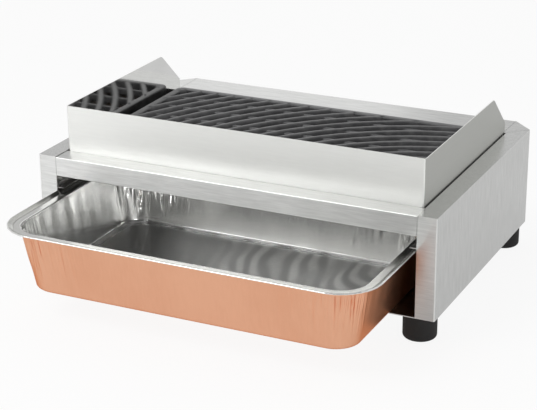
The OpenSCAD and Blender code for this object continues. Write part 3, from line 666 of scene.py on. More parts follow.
def loft(rings: np.ndarray) -> bmesh.types.BMesh:
    """Join rings of points, each of the same count, into a skin with a face at each end.

    Args:
        rings: Array of rings by points by three.

    Returns:
        The skin as an edit mesh.
    """
    work = bmesh.new()
    rows = [[work.verts.new(point) for point in ring] for ring in rings]
    count = len(rows[0])
    for lower, upper in zip(rows, rows[1:]):
        for i in range(count):
            j = (i + 1) % count
            work.faces.new((lower[i], lower[j], upper[j], upper[i]))
    work.faces.new(list(reversed(rows[0])))
    work.faces.new(rows[-1])
    return work


# Geometry trees

class ShapeTree(Graph):
    """A Geometry Nodes tree with named inputs, run once on an object to make a plain mesh."""

    KINDS = {float: "NodeSocketFloat", int: "NodeSocketInt", Vector: "NodeSocketVector",
             bpy.types.Material: "NodeSocketMaterial", bpy.types.Object: "NodeSocketObject"}
    ROUND_STEPS = 4

    def __init__(self, name: str, inputs: dict[str, object]) -> None:
        """Make a tree whose inputs have these names and values."""
        tree = bpy.data.node_groups.new(name, "GeometryNodeTree")
        super().__init__(tree)
        tree.interface.new_socket("Geometry", in_out="INPUT", socket_type="NodeSocketGeometry")
        tree.interface.new_socket("Geometry", in_out="OUTPUT", socket_type="NodeSocketGeometry")
        self.values = inputs
        self.sockets = {
            key: tree.interface.new_socket(key, in_out="INPUT", socket_type=self.KINDS[type(value)])
            for key, value in inputs.items()
        }
        self.entry = tree.nodes.new("NodeGroupInput")

    def given(self, name: str) -> Signal:
        """Return the input of that name."""
        return Signal(self, self.entry.outputs[name])

    def vector(self, x: Value, y: Value, z: Value) -> Signal:
        """Return a vector of three numbers."""
        return self.node("ShaderNodeCombineXYZ", None, {0: x, 1: y, 2: z})

    def sweep(self, curve: Signal, foot: Value, top: Value, height: Value, rounding: Value) -> Signal:
        """Return a rounded bar along a level curve, with a width at its foot and at its top."""
        profile = self.node("GeometryNodeCurvePrimitiveQuadrilateral", {"mode": "TRAPEZOID"}, {
            "Bottom Width": top, "Top Width": foot, "Height": height, "Offset": 0.0,
        })
        rounded = self.node("GeometryNodeFilletCurve", {"mode": "POLY"}, {
            "Curve": profile, "Count": self.ROUND_STEPS, "Radius": rounding, "Limit Radius": True,
        })
        upright = self.node("GeometryNodeSetCurveNormal", {"mode": "Z_UP"}, {"Curve": curve})
        return self.node("GeometryNodeCurveToMesh", None, {
            "Curve": upright, "Profile Curve": rounded, "Fill Caps": True,
        })

    def run(self, name: str, result: Signal, material: Signal, base: Optional[bpy.types.Mesh] = None
            ) -> bpy.types.Mesh:
        """Realize the result, give it a material and turn it into a plain mesh.

        Args:
            name: Name of the mesh.
            result: The geometry that the tree makes.
            material: Input that holds the material.
            base: Mesh that the tree starts from, if it needs one.

        Returns:
            The plain mesh.
        """
        solid = self.node("GeometryNodeRealizeInstances", None, {"Geometry": result})
        coated = self.node("GeometryNodeSetMaterial", None, {"Geometry": solid, "Material": material})
        self.node("NodeGroupOutput", None, {"Geometry": coated})
        carrier = linked(name + "_carrier", base or bpy.data.meshes.new(name + "_base"))
        modifier = carrier.modifiers.new("shape", "NODES")
        modifier.node_group = self.tree
        for key, value in self.values.items():
            modifier[self.sockets[key].identifier] = value
        view = bpy.context.evaluated_depsgraph_get()
        mesh = bpy.data.meshes.new_from_object(carrier.evaluated_get(view), depsgraph=view)
        carrier.modifiers.remove(modifier)
        bpy.data.objects.remove(carrier)
        mesh.name = name
        return mesh


def repeat_at(name: str, template: bmesh.types.BMesh, places: Sequence[Vector], turn: Vector, finish: Finish
              ) -> bpy.types.Mesh:
    """Repeat a small part at several places.

    Args:
        name: Name of the mesh.
        template: The part, about the origin.
        places: Where its copies go.
        turn: Rotation of each copy, in radians about X, Y and Z.
        finish: The finish of the copies.

    Returns:
        One plain mesh with all copies.
    """
    part = bpy.data.objects.new(name + "_template", to_mesh(name + "_template", template))
    points = bpy.data.meshes.new(name + "_places")
    points.from_pydata(places, [], [])
    tree = ShapeTree(name + "_tree", {"Part": part, "Turn": turn, "Material": finish.material()})
    shape = tree.node("GeometryNodeObjectInfo", {"transform_space": "ORIGINAL"},
                      {"Object": tree.given("Part")}, "Geometry")
    copies = tree.node("GeometryNodeInstanceOnPoints", None, {
        "Points": tree.given("Geometry"), "Instance": shape, "Rotation": tree.given("Turn"),
    })
    mesh = tree.run(name, copies, tree.given("Material"), points)
    bpy.data.objects.remove(part)
    return mesh


def ring_of_ridges(name: str, centre: Vector, count: int, radius: float, start: float, sweep: float,
                   size: Vector, finish: Finish) -> bpy.types.Mesh:
    """Set small bars round an axis that runs from the front to the back.

    Args:
        name: Name of the mesh.
        centre: Centre of the ring.
        count: Number of bars.
        radius: Distance of each bar's middle from the axis.
        start: Angle of the first bar, from +X towards +Z.
        sweep: Angle from the first bar to the last.
        size: Bar size along the ring, along the axis and outwards.
        finish: The finish of the bars.

    Returns:
        One plain mesh with all bars.
    """
    tree = ShapeTree(name + "_tree", {
        "Count": count, "Radius": radius, "Start": start, "Sweep": sweep, "Centre": centre, "Size": size,
        "Material": finish.material(),
    })
    index = tree.node("GeometryNodeInputIndex")
    angle = tree.given("Start") + tree.given("Sweep") * index / (tree.given("Count") - 1)
    across = tree.given("Radius") * (angle + math.pi / 2).sine()
    rise = tree.given("Radius") * angle.sine()
    line = tree.node("GeometryNodeMeshLine", None, {"Count": tree.given("Count")})
    spots = tree.node("GeometryNodeSetPosition", None, {
        "Geometry": line, "Position": tree.vector(across, 0.0, rise), "Offset": tree.given("Centre"),
    })
    bar = tree.node("GeometryNodeMeshCube", None, {"Size": tree.given("Size")})
    turn = tree.vector(0.0, math.pi / 2 - angle, 0.0)
    bars = tree.node("GeometryNodeInstanceOnPoints", None, {
        "Points": spots, "Instance": bar, "Rotation": turn,
    })
    return tree.run(name, bars, tree.given("Material"))


# Sub-assemblies

Finishes = tuple[tuple[str, Finish], ...]


@dataclass
class SubAssembly:
    """A group of pieces that is built and then dressed."""

    finishes: Finishes = ()

    def build(self) -> None:
        """Make the pieces of its own, if the group has any."""

    def dress(self) -> None:
        """Give the solids that are carried over their finish."""
        for node, finish in self.finishes:
            dress_node(node, finish)


class SheetFace(IntEnum):
    """Material index of a folded sheet's faces."""

    PLAIN = 0
    # Bends, in a brighter tone: a painted highlight
    BEND = 1
    FRONT = 2


@dataclass
class Housing(SubAssembly):
    """Folded sheet housing with its rail, inner sheets, feet and screws."""

    finishes: Finishes = (
        ("side_liner_left", INNER_STEEL), ("side_liner_right", INNER_STEEL), ("bulkhead", INNER_STEEL),
        ("support_frame", INNER_STEEL), ("tray_guide_left", INNER_STEEL), ("tray_guide_right", INNER_STEEL),
        ("foot_front_left", FOOT_RUBBER), ("foot_front_right", FOOT_RUBBER), ("foot_rear_left", FOOT_RUBBER),
        ("foot_rear_right", FOOT_RUBBER), ("foot_screws", PLATED_STEEL), ("foot_nuts", PLATED_STEEL),
    )
    bend: float = 1.4 * MM
    rail_bend: float = 0.9 * MM
    plate_bend: float = 0.3 * MM
    # Faces whose normal has a y below this look to the front
    front_from: float = -0.9
    head_skin: float = 0.2 * MM
    screw_head_r: float = 4.0 * MM
    screw_head_h: float = 2.4 * MM
    screw_sides: int = 36
    shank_share: float = 0.5
    shank_len: float = 6 * MM
    dome_end: float = math.radians(66)
    dome_rows: int = 7
    socket_r: float = 1.7 * MM
    socket_h: float = 1.4 * MM
    socket_flare: float = 1.06
    socket_lip: float = 0.1 * MM

    def build(self) -> None:
        """Make the outer sheets with rounded bends, and the screws of the back."""
        for name, outer in (("left", Side.LEFT), ("right", Side.RIGHT)):
            self._sheet(f"side_panel_{name}", (outer, Side.FRONT), self.bend, OUTER_STEEL, (outer, Side.TOP),
                        RAIL_FRONT)
        self._sheet("front_rail", (Side.FRONT, Side.TOP, Side.BOTTOM), self.rail_bend, RAIL_TOP,
                    front=RAIL_FRONT)
        self._sheet("rear_panel", (), self.bend, RAIL_STEEL, (Side.BACK, Side.TOP))
        self._sheet("base_plate", (Side.FRONT, Side.TOP), self.plate_bend, RAIL_STEEL)
        self._rear_screws()

    def _sheet(self, node: str, sides: Sequence[Side], radius: float, finish: Finish,
               plain: Sequence[Side] = (), front: Optional[Finish] = None) -> None:
        """Make one folded sheet from its solid.

        Args:
            node: The solid.
            sides: Sides between which the bends get a brighter tone: a painted highlight.
            radius: Radius of the bends.
            finish: Finish of the sheet.
            plain: Sides between which the bends keep the sheet's finish.
            front: Finish of the faces to the front, if it differs.
        """
        work = merged_copy(node)
        # The bends between these sides are painted brighter: a painted highlight
        bend_edges(work, node, sides, radius, finish_index=SheetFace.BEND)
        bend_edges(work, node, plain, radius)
        work.normal_update()
        for face in work.faces:
            if face.normal.y < self.front_from and face.material_index == SheetFace.PLAIN:
                face.material_index = SheetFace.FRONT
        piece = new_object(node + "_folded", to_mesh(node, work), [finish, BEND_HIGHLIGHT_STEEL, front or finish])
        firm_normals(piece)
        settle(piece, "housing", [node])

    def _rear_screws(self) -> None:
        """Set a socket-head screw at each screw of the back."""
        low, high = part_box("rear_panel_screws")
        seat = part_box("rear_panel")[1].y
        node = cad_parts["rear_panel_screws"].data
        heads = sorted({round(v.co.x, 4) for v in node.vertices if v.co.y > high.y - self.head_skin})
        centres = [Vector((x, seat, (low.z + high.z) / 2)) for x in self._groups(heads)]
        mesh = repeat_at("rear_panel_screws", self._socket_screw(), centres, Vector((-math.pi / 2, 0, 0)),
                         PLATED_STEEL)
        piece = new_object("rear_screws", mesh, [PLATED_STEEL])
        settle(piece, "housing", ["rear_panel_screws"])

    @staticmethod
    def _groups(values: Sequence[float], gap: float = 20 * MM) -> list[float]:
        """Return the middle of each cluster of values."""
        clusters: list[list[float]] = []
        for value in values:
            if clusters and value - clusters[-1][-1] < gap:
                clusters[-1].append(value)
            else:
                clusters.append([value])
        return [(cluster[0] + cluster[-1]) / 2 for cluster in clusters]

    def _socket_screw(self) -> bmesh.types.BMesh:
        """Return a domed screw head with a six-sided socket, standing on z = 0."""
        angles = np.arange(self.screw_sides) * 2 * math.pi / self.screw_sides
        sector = math.pi / 3
        hexagon = self.socket_r / np.cos((angles % sector) - sector / 2)
        dome = [(math.cos(a) * self.screw_head_r, math.sin(a) * self.screw_head_h)
                for a in np.linspace(0, self.dome_end, self.dome_rows)]
        top = dome[-1][1]
        shank = self.shank_share * self.screw_head_r
        profile = [(shank, -self.shank_len), (shank, 0.0), *dome,
                   (self.socket_flare * hexagon, top + self.socket_lip / 2),
                   (hexagon, top - self.socket_lip), (hexagon, top - self.socket_h)]
        rings = [np.stack([r * np.cos(angles), r * np.sin(angles), np.full_like(angles, z)], 1)
                 for r, z in profile]
        return loft(np.array(rings))


class ScreenFace(IntEnum):
    """Material index of the windscreen's faces."""

    OUTSIDE = 0
    INSIDE = 1
    WING = 2


@dataclass
class Windscreen(SubAssembly):
    """Sheet that stands round the grid, satin outside, with painted shade on the wings' outer faces, and
    polished inside.
    """

    edge: float = 0.25 * MM
    # How far a normal leans to the middle on an inner face, and to the side on a wing
    inside_from: float = 0.02
    sideways_from: float = 0.7

    def build(self) -> None:
        """Make the bent sheet with softened edges, and tell its inner faces from its outer ones."""
        work = merged_copy("windscreen")
        bend_edges(work, "windscreen", (Side.TOP, Side.FRONT), self.edge, steps=2)
        low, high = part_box("windscreen")
        middle = (low + high) / 2
        # Outer faces of the wings get a darker copy of the satin finish: painted shade
        for face in work.faces:
            inwards = Vector((middle.x, middle.y, 0)) - face.calc_center_median()
            inwards.z = 0
            if face.normal.dot(inwards) > self.inside_from:
                face.material_index = ScreenFace.INSIDE
            elif abs(face.normal.x) > self.sideways_from:
                face.material_index = ScreenFace.WING
            else:
                face.material_index = ScreenFace.OUTSIDE
        self.piece = new_object("windscreen_sheet", to_mesh("windscreen", work),
                                [SATIN_STEEL, SCREEN_STEEL, WING_SHADE_STEEL])
        firm_normals(self.piece)

    def dress(self) -> None:
        """Tie the sheet to its body."""
        settle(self.piece, "screen", ["windscreen"])


@dataclass
class CookingGrid(SubAssembly):
    """Cast grid of curved bars over cross ribs in a flat border."""

    border: float = 11.5 * MM
    border_round: float = 0.16
    corner: float = 6.0 * MM
    corner_steps: int = 6
    bar_w: float = 7.2 * MM
    bar_foot: float = 16.0 * MM
    bar_h: float = 12.0 * MM
    bar_round: float = 3.5 * MM
    bar_pitch: float = 22.2 * MM
    first_radius: float = 95.0 * MM
    centre_in: float = 9.0 * MM
    centre_front: float = 31.0 * MM
    rib_w: float = 5.0 * MM
    rib_flare: float = 1.8
    rib_round: float = 0.4
    rib_drop: float = 2.6 * MM
    rib_pitch: float = 43.5 * MM
    ring_points: int = 1440
    step: float = 5.0 * MM

    def build(self) -> None:
        """Make the grid by a rule: rings about one centre, cut to the border, over straight ribs."""
        low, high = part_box("cooking_grid")
        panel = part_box("side_panel_right")
        centre = Vector((panel[1].x - self.centre_in, panel[0].y - self.centre_front, 0.0))
        reach = math.hypot(low.x - centre.x, high.y - centre.y)
        bars = int((reach - self.first_radius) / self.bar_pitch) + 1
        ribs = int((high.y - low.y - 2 * self.border) / self.rib_pitch)
        tree = ShapeTree("grid_tree", {
            "Bars": bars, "First radius": self.first_radius, "Pitch": self.bar_pitch, "Ring centre": centre,
            "Middle y": (low.y + high.y) / 2, "Half width": high.x, "Half depth": (high.y - low.y) / 2,
            "Top": high.z, "Bottom": low.z, "Border": self.border, "Corner": self.corner,
            "Bar width": self.bar_w, "Bar foot": self.bar_foot, "Bar height": self.bar_h,
            "Bar rounding": self.bar_round,
            "Ribs": ribs, "Rib pitch": self.rib_pitch, "Rib width": self.rib_w, "Rib drop": self.rib_drop,
            "Step": self.step, "Material": GRID_ENAMEL.material(),
        })
        joined = tree.node("GeometryNodeJoinGeometry", None, {
            "Geometry": [self._bars(tree), self._ribs(tree), self._border(tree)],
        })
        mesh = tree.run("cooking_grid_cast", joined, tree.given("Material"))
        self.piece = new_object("cooking_grid_cast", mesh, [GRID_ENAMEL])

    def _bars(self, tree: ShapeTree) -> Signal:
        """Return the curved bars, cut off inside the border."""
        index = tree.node("GeometryNodeInputIndex")
        radius = tree.given("First radius") + tree.given("Pitch") * index
        seeds = tree.node("GeometryNodeMeshLine", None, {
            "Count": tree.given("Bars"), "Start Location": tree.given("Ring centre"),
            "Offset": (0.0, 0.0, 0.0),
        })
        ring = tree.node("GeometryNodeCurvePrimitiveCircle", None, {
            "Resolution": self.ring_points, "Radius": 1.0,
        })
        rings = tree.node("GeometryNodeInstanceOnPoints", None, {
            "Points": seeds, "Instance": ring, "Scale": tree.vector(radius, radius, radius),
        })
        wires = tree.node("GeometryNodeCurveToMesh", None, {
            "Curve": tree.node("GeometryNodeRealizeInstances", None, {"Geometry": rings}),
        })
        spot = tree.node("GeometryNodeInputPosition")
        x = tree.node("ShaderNodeSeparateXYZ", None, {0: spot}, 0)
        y = tree.node("ShaderNodeSeparateXYZ", None, {0: spot}, 1)
        inset = tree.given("Border") * 0.5
        over_x = abs(x) > tree.given("Half width") - inset
        over_y = abs(y - tree.given("Middle y")) > tree.given("Half depth") - inset
        kept = tree.node("GeometryNodeDeleteGeometry", {"domain": "POINT"}, {
            "Geometry": wires, "Selection": over_x.largest(over_y),
        })
        curves = tree.node("GeometryNodeResampleCurve", {"mode": "LENGTH"}, {
            "Curve": tree.node("GeometryNodeMeshToCurve", None, {"Mesh": kept}), "Length": tree.given("Step"),
        })
        lifted = tree.node("GeometryNodeSetPosition", None, {
            "Geometry": curves,
            "Offset": tree.vector(0.0, 0.0, tree.given("Top") - tree.given("Bar height") * 0.5),
        })
        return tree.sweep(lifted, tree.given("Bar foot"), tree.given("Bar width"), tree.given("Bar height"),
                          tree.given("Bar rounding"))

    def _ribs(self, tree: ShapeTree) -> Signal:
        """Return the straight cross ribs, a step lower than the bars."""
        height = tree.given("Bar height") - tree.given("Rib drop")
        first = tree.given("Middle y") - tree.given("Rib pitch") * (tree.given("Ribs") - 1) * 0.5
        z = tree.given("Top") - tree.given("Bar height") + height * 0.5
        seeds = tree.node("GeometryNodeMeshLine", None, {
            "Count": tree.given("Ribs"), "Start Location": tree.vector(0.0, first, z),
            "Offset": tree.vector(0.0, tree.given("Rib pitch"), 0.0),
        })
        reach = tree.given("Half width") - tree.given("Border") * 0.5
        line = tree.node("GeometryNodeCurvePrimitiveLine", None, {
            "Start": tree.vector(0.0 - reach, 0.0, 0.0), "End": tree.vector(reach, 0.0, 0.0),
        })
        lines = tree.node("GeometryNodeInstanceOnPoints", None, {"Points": seeds, "Instance": line})
        curves = tree.node("GeometryNodeRealizeInstances", None, {"Geometry": lines})
        width = tree.given("Rib width")
        return tree.sweep(curves, width * self.rib_flare, width, height, width * self.rib_round)

    def _border(self, tree: ShapeTree) -> Signal:
        """Return the flat border with rounded corners."""
        border = tree.given("Border")
        outline = tree.node("GeometryNodeCurvePrimitiveQuadrilateral", None, {
            "Width": tree.given("Half width") * 2 - border, "Height": tree.given("Half depth") * 2 - border,
        })
        rounded = tree.node("GeometryNodeFilletCurve", {"mode": "POLY"}, {
            "Curve": outline, "Count": self.corner_steps, "Radius": tree.given("Corner"),
            "Limit Radius": True,
        })
        z = (tree.given("Top") + tree.given("Bottom")) * 0.5
        placed = tree.node("GeometryNodeSetPosition", None, {
            "Geometry": rounded, "Offset": tree.vector(0.0, tree.given("Middle y"), z),
        })
        height = tree.given("Top") - tree.given("Bottom")
        return tree.sweep(placed, border, border, height, border * self.border_round)

    def dress(self) -> None:
        """Tie the grid to its body."""
        settle(self.piece, "grid", ["cooking_grid"])


class Corner(Enum):
    """A corner of the tray: its signs in x and y, and how strongly its foil is pleated."""

    REAR_RIGHT = (1, 1, 1.8)
    REAR_LEFT = (-1, 1, 1.7)
    FRONT_LEFT = (-1, -1, 0.8)
    FRONT_RIGHT = (1, -1, 1.0)


class TrayFace(IntEnum):
    """Material index of the tray's faces."""

    INSIDE = 0
    OUTSIDE = 1
    FLOOR = 2
    RIM = 3
    BEAD = 4


@dataclass(frozen=True)
class Crease:
    """One fold of the foil: its place along the rim, height, width, depth down the wall and slant."""

    along: float
    height: float
    width: float
    depth: float
    slant: float


@dataclass(frozen=True)
class Ring:
    """One ring of the tray's skin.

    It has a distance in from the rim's outline, a height above the underside, a corner radius, and a
    height up the wall for the pleats, from 0 to 1, or below 0 on the floor.
    """

    inset: float
    z: float
    r: float
    up: float


@dataclass
class DripTray(SubAssembly):
    """Pressed foil tray with a rolled rim, pleated corners and a bead round its floor."""

    wall: float = 0.8 * MM
    rim_w: float = 18.0 * MM
    rim_r: float = 57.0 * MM
    rim_drop: float = 3.3 * MM
    rim_rows: int = 4
    bead_r: float = 1.0 * MM
    bead_steps: int = 9
    bead_turn: tuple[float, float] = (-70, -330)
    crease_in: float = 8.0 * MM
    crease_ridge: float = 0.45 * MM
    crease_foot: float = 0.4
    shoulder_in: float = 1.2 * MM
    shoulder_r: float = 2.0 * MM
    shoulder_drop: float = 2.6 * MM
    shoulder_gap: float = 0.1 * MM
    shoulder_turn: tuple[float, float] = (90, 10)
    shoulder_rows: int = 5
    taper: float = 13.0 * MM
    foot_r: float = 32.0 * MM
    fillet: float = 6.0 * MM
    outer_fillet_turn: tuple[float, float] = (-90, -180)
    outer_fillet_rows: int = 6
    inner_fillet_turn: tuple[float, float] = (-168, -92)
    inner_fillet_rows: int = 5
    outer_wall_rows: int = 16
    outer_wall_start: float = 0.06
    inner_wall_rows: int = 20
    under_insets: tuple[float, float] = (150 * MM, 100 * MM)
    under_min_r: float = 4 * MM
    under_flat: float = 4 * MM
    floor_bead_in: float = 1.6 * MM
    floor_bead_w: float = 2.2 * MM
    floor_bead_h: float = 0.6 * MM
    floor_bead_rows: int = 7
    floor_bead_r_loss: float = 4 * MM
    floor_step: float = 12.0 * MM
    floor_middle: float = 6 * MM
    floor_min_r: float = 5 * MM
    crease_h: float = 1.5 * MM
    crease_vary: tuple[float, float] = (0.5, 1.2)
    crease_gap: tuple[float, float] = (3.6 * MM, 6.2 * MM)
    crease_widen: float = 0.5
    crease_w: tuple[float, float] = (1.1 * MM, 1.9 * MM)
    crease_depth: tuple[float, float] = (0.5, 0.98)
    crease_slant: float = 6 * MM
    crease_ramp: float = 0.4
    reach_long: float = 120.0 * MM
    reach_short: float = 64.0 * MM
    fade_long: float = 95.0 * MM
    fade_short: float = 44.0 * MM
    buckle: float = 0.3 * MM
    buckle_waves: float = 7.3
    buckle_shift: float = 1.7
    rim_hold: float = 0.75
    rim_hold_h: float = 0.1
    corner_steps: int = 78
    near_step: float = 1.1 * MM
    far_step: float = 8.0 * MM
    seed: int = 17

    def build(self) -> None:
        """Make the tray as one closed skin of rings, copper outside and bright inside."""
        low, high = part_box("drip_tray")
        self.half = np.array(((high.x - low.x) / 2, (high.y - low.y) / 2))
        self.middle = Vector(((low.x + high.x) / 2, (low.y + high.y) / 2, low.z))
        self.height = high.z - low.z
        self.quarter = self.rim_r * math.pi / 4
        self._set_stations()
        self._set_creases()
        outside = self._outer_rows()
        inside = self._inner_rows()
        edge = len(outside) - 1
        rim = edge + self.bead_steps
        floor = edge + next(i for i, row in enumerate(inside) if row.up < 0)
        rings = np.array([self._ring(row) for row in outside + inside])
        around = rings.shape[1]
        work = loft(rings)
        work.faces.ensure_lookup_table()
        # The rim's band inside the rolled edge gets a darker copy of the foil: painted shade
        bands = ((0, edge, TrayFace.OUTSIDE), (edge, rim, TrayFace.BEAD),
                 (rim, rim + self.rim_rows, TrayFace.RIM), (floor, len(rings) - 1, TrayFace.FLOOR))
        for first, last, finish_index in bands:
            for face in work.faces[first * around: last * around]:
                face.material_index = finish_index
        work.faces[-2].material_index = TrayFace.OUTSIDE
        work.faces[-1].material_index = TrayFace.FLOOR
        self.piece = new_object("drip_tray_foil", to_mesh("drip_tray_foil", work),
                                [TRAY_INSIDE, TRAY_OUTSIDE, TRAY_FLOOR, TRAY_RIM_SHADE, TRAY_BEAD])

    def _set_stations(self) -> None:
        """Set the places round the rim, each by its corner, turn of the arc and share of the next side."""
        rows = []
        for corner in range(len(Corner)):
            for i in range(self.corner_steps + 1):
                along = (2 * i / self.corner_steps - 1) * self.quarter
                rows.append((corner, i / self.corner_steps, 0.0, corner, along))
            length = 2 * (self.half[corner % 2] - self.rim_r)
            reach = self.reach_long if corner % 2 == 0 else self.reach_short
            near = np.arange(1, int(reach / self.near_step)) * self.near_step
            far_count = int((length - 2 * near[-1]) / self.far_step) + 2
            far = np.linspace(near[-1], length - near[-1], far_count)[1:-1]
            for place in (*near, *far, *(length - near[::-1])):
                first = place < length / 2
                nearest = corner if first else (corner + 1) % len(Corner)
                along = self.quarter + place if first else place - length - self.quarter
                rows.append((corner, 1.0, place / length, nearest, along))
        self.corner, self.turn, self.share, self.nearest, self.along = np.array(rows).T

    def _set_creases(self) -> None:
        """Draw the folds of each corner."""
        draw = random.Random(self.seed)
        self.creases: list[list[Crease]] = []
        for index, corner in enumerate(Corner):
            strength = corner.value[2]
            folds = []
            at = -self.reach_long
            while at < self.reach_long:
                spread = max(0.0, abs(at) - self.quarter) / self.quarter
                at += draw.uniform(*self.crease_gap) * (1 + self.crease_widen * spread)
                fade_reach = self.fade_long if (at > 0) == (index % 2 == 0) else self.fade_short
                fade = math.exp(-((at / fade_reach) ** 2))
                size = self.crease_h * strength * fade
                height = size * draw.uniform(*self.crease_vary) * draw.choice((-1, 1))
                width, depth = draw.uniform(*self.crease_w), draw.uniform(*self.crease_depth)
                slant = draw.uniform(-self.crease_slant, self.crease_slant)
                folds.append(Crease(at, height, width, depth, slant))
            self.creases.append(folds)

    def _fold(self, up: float) -> np.ndarray:
        """Return how far the foil is folded outwards at each station.

        Args:
            up: Height up the wall, from 0 to 1, or below 0 on the floor.

        Returns:
            One distance for each station.
        """
        fold = np.zeros_like(self.along)
        if up <= 0:
            return fold
        for index, folds in enumerate(self.creases):
            mine = self.nearest == index
            along = self.along[mine]
            for crease in folds:
                ramp = min(1.0, max(0.0, (up - 1 + crease.depth) / self.crease_ramp))
                spread = (along - crease.along - crease.slant * (1 - up)) / crease.width
                fold[mine] += crease.height * ramp * ramp * (3 - 2 * ramp) * np.exp(-spread * spread)
        length = self.share * (1 - (self.turn < 1))
        waves = 2 * math.pi * self.buckle_waves * length + self.buckle_shift * self.corner
        fold += self.buckle * up * np.sin(waves) * np.sin(math.pi * length)
        held = max(0.0, up - (1 - self.rim_hold_h)) / self.rim_hold_h
        return fold * (1 - self.rim_hold * held)

    @staticmethod
    def _arc(inset: float, z: float, r: float, turn: tuple[float, float], steps: int
             ) -> list[tuple[float, float]]:
        """Return points of inset and height on an arc about a centre, between two angles in degrees."""
        return [(inset + r * math.cos(a), z + r * math.sin(a)) for a in np.radians(np.linspace(*turn, steps))]

    def _wall_r(self, up: float) -> float:
        """Return the corner radius of the wall at a height from 0 to 1."""
        return self.foot_r + (self.rim_r - self.rim_w - self.foot_r) * up

    def _outer_rows(self) -> list[Ring]:
        """Return the outer skin from the middle of the underside up to the rim's rolled edge."""
        foot = self.rim_w + self.taper
        under = self.height - self.rim_drop - self.wall
        rows = [Ring(inset, 0.0, max(self.foot_r + foot - inset, self.under_min_r), 0.0)
                for inset in (*self.under_insets, foot + self.fillet + self.under_flat)]
        fillet = self._arc(foot + self.fillet, self.fillet, self.fillet, self.outer_fillet_turn,
                           self.outer_fillet_rows)
        rows += [Ring(inset, z, self.foot_r, 0.0) for inset, z in fillet]
        rows += [Ring(foot - self.taper * up, self.fillet + (under - self.fillet) * up, self._wall_r(up), up)
                 for up in np.linspace(self.outer_wall_start, 1.0, self.outer_wall_rows)]
        rows += [Ring(inset, z, self.rim_r - inset, 1.0)
                 for inset, z in ((self.crease_in, under), (2 * self.bead_r, self.height - 2 * self.bead_r))]
        return rows

    def _inner_rows(self) -> list[Ring]:
        """Return the rim, the inner wall and the floor, from the rolled edge to the middle."""
        foot = self.rim_w + self.taper + self.wall
        low = self.height - self.rim_drop
        bead = self._arc(self.bead_r, self.height - self.bead_r, self.bead_r, self.bead_turn, self.bead_steps)
        ridge = self.crease_ridge
        crease = [(self.crease_in - ridge, low + self.crease_foot * ridge), (self.crease_in, low + ridge),
                  (self.crease_in + ridge, low)]
        shoulder = self._arc(self.rim_w - self.shoulder_in, low - self.shoulder_r, self.shoulder_r,
                             self.shoulder_turn, self.shoulder_rows)
        rows = [Ring(inset, z, self.rim_r - inset, 1.0) for inset, z in bead + crease + shoulder]
        top = low - self.shoulder_drop
        lean = foot - shoulder[-1][0] - self.shoulder_gap
        rows += [Ring(foot - lean * up, self.fillet + (top - self.fillet) * up, self._wall_r(up), up)
                 for up in np.linspace(1.0, 0.0, self.inner_wall_rows)]
        inner = self.fillet - self.wall
        fillet = self._arc(foot + inner, self.fillet, inner, self.inner_fillet_turn, self.inner_fillet_rows)
        rows += [Ring(inset, z, self.foot_r, 0.0) for inset, z in fillet]
        start = foot + inner + self.floor_bead_in
        for share in np.linspace(0, 1, self.floor_bead_rows):
            z = self.wall + self.floor_bead_h * math.sin(math.pi * share) ** 2
            rows.append(Ring(start + self.floor_bead_w * share, z, self.foot_r - self.floor_bead_r_loss, 0.0))
        inset = start + self.floor_bead_w
        while inset + self.floor_step < self.half[1] - self.floor_middle:
            inset += self.floor_step
            rows.append(Ring(inset, self.wall, max(self.foot_r - (inset - foot), self.floor_min_r), -1.0))
        return rows

    def _ring(self, row: Ring) -> np.ndarray:
        """Return the points of one ring of the skin."""
        reach = self.half - row.inset
        r = min(row.r, reach.min() - MM)
        signs = np.array([corner.value[:2] for corner in Corner])
        which = self.corner.astype(int)
        angle = (self.corner + self.turn) * math.pi / 2
        outward = np.stack([np.cos(angle), np.sin(angle)], 1)
        start = signs[which] * (reach - r) + (r + self._fold(row.up))[:, None] * outward
        along = np.stack([-np.sin(angle), np.cos(angle)], 1)
        length = 2 * (np.where(which % 2 == 0, reach[0], reach[1]) - r)
        x, y = (start + along * (self.share * length)[:, None]).T
        return np.stack([self.middle.x + x, self.middle.y + y, np.full_like(x, self.middle.z + row.z)], 1)

    def dress(self) -> None:
        """Tie the tray to its body."""
        settle(self.piece, "tray", ["drip_tray"])


@dataclass
class HeatingElements(SubAssembly):
    """Tubular elements with their straps, collars and terminals."""

    finishes: Finishes = (
        ("heating_element_left", ELEMENT_STEEL), ("heating_element_right", ELEMENT_STEEL),
        ("element_straps", INNER_STEEL), ("element_collars", TURNED_BRASS), ("element_nuts", TURNED_BRASS),
        ("element_insulators", WHITE_CERAMIC), ("element_terminals", PLATED_STEEL),
    )


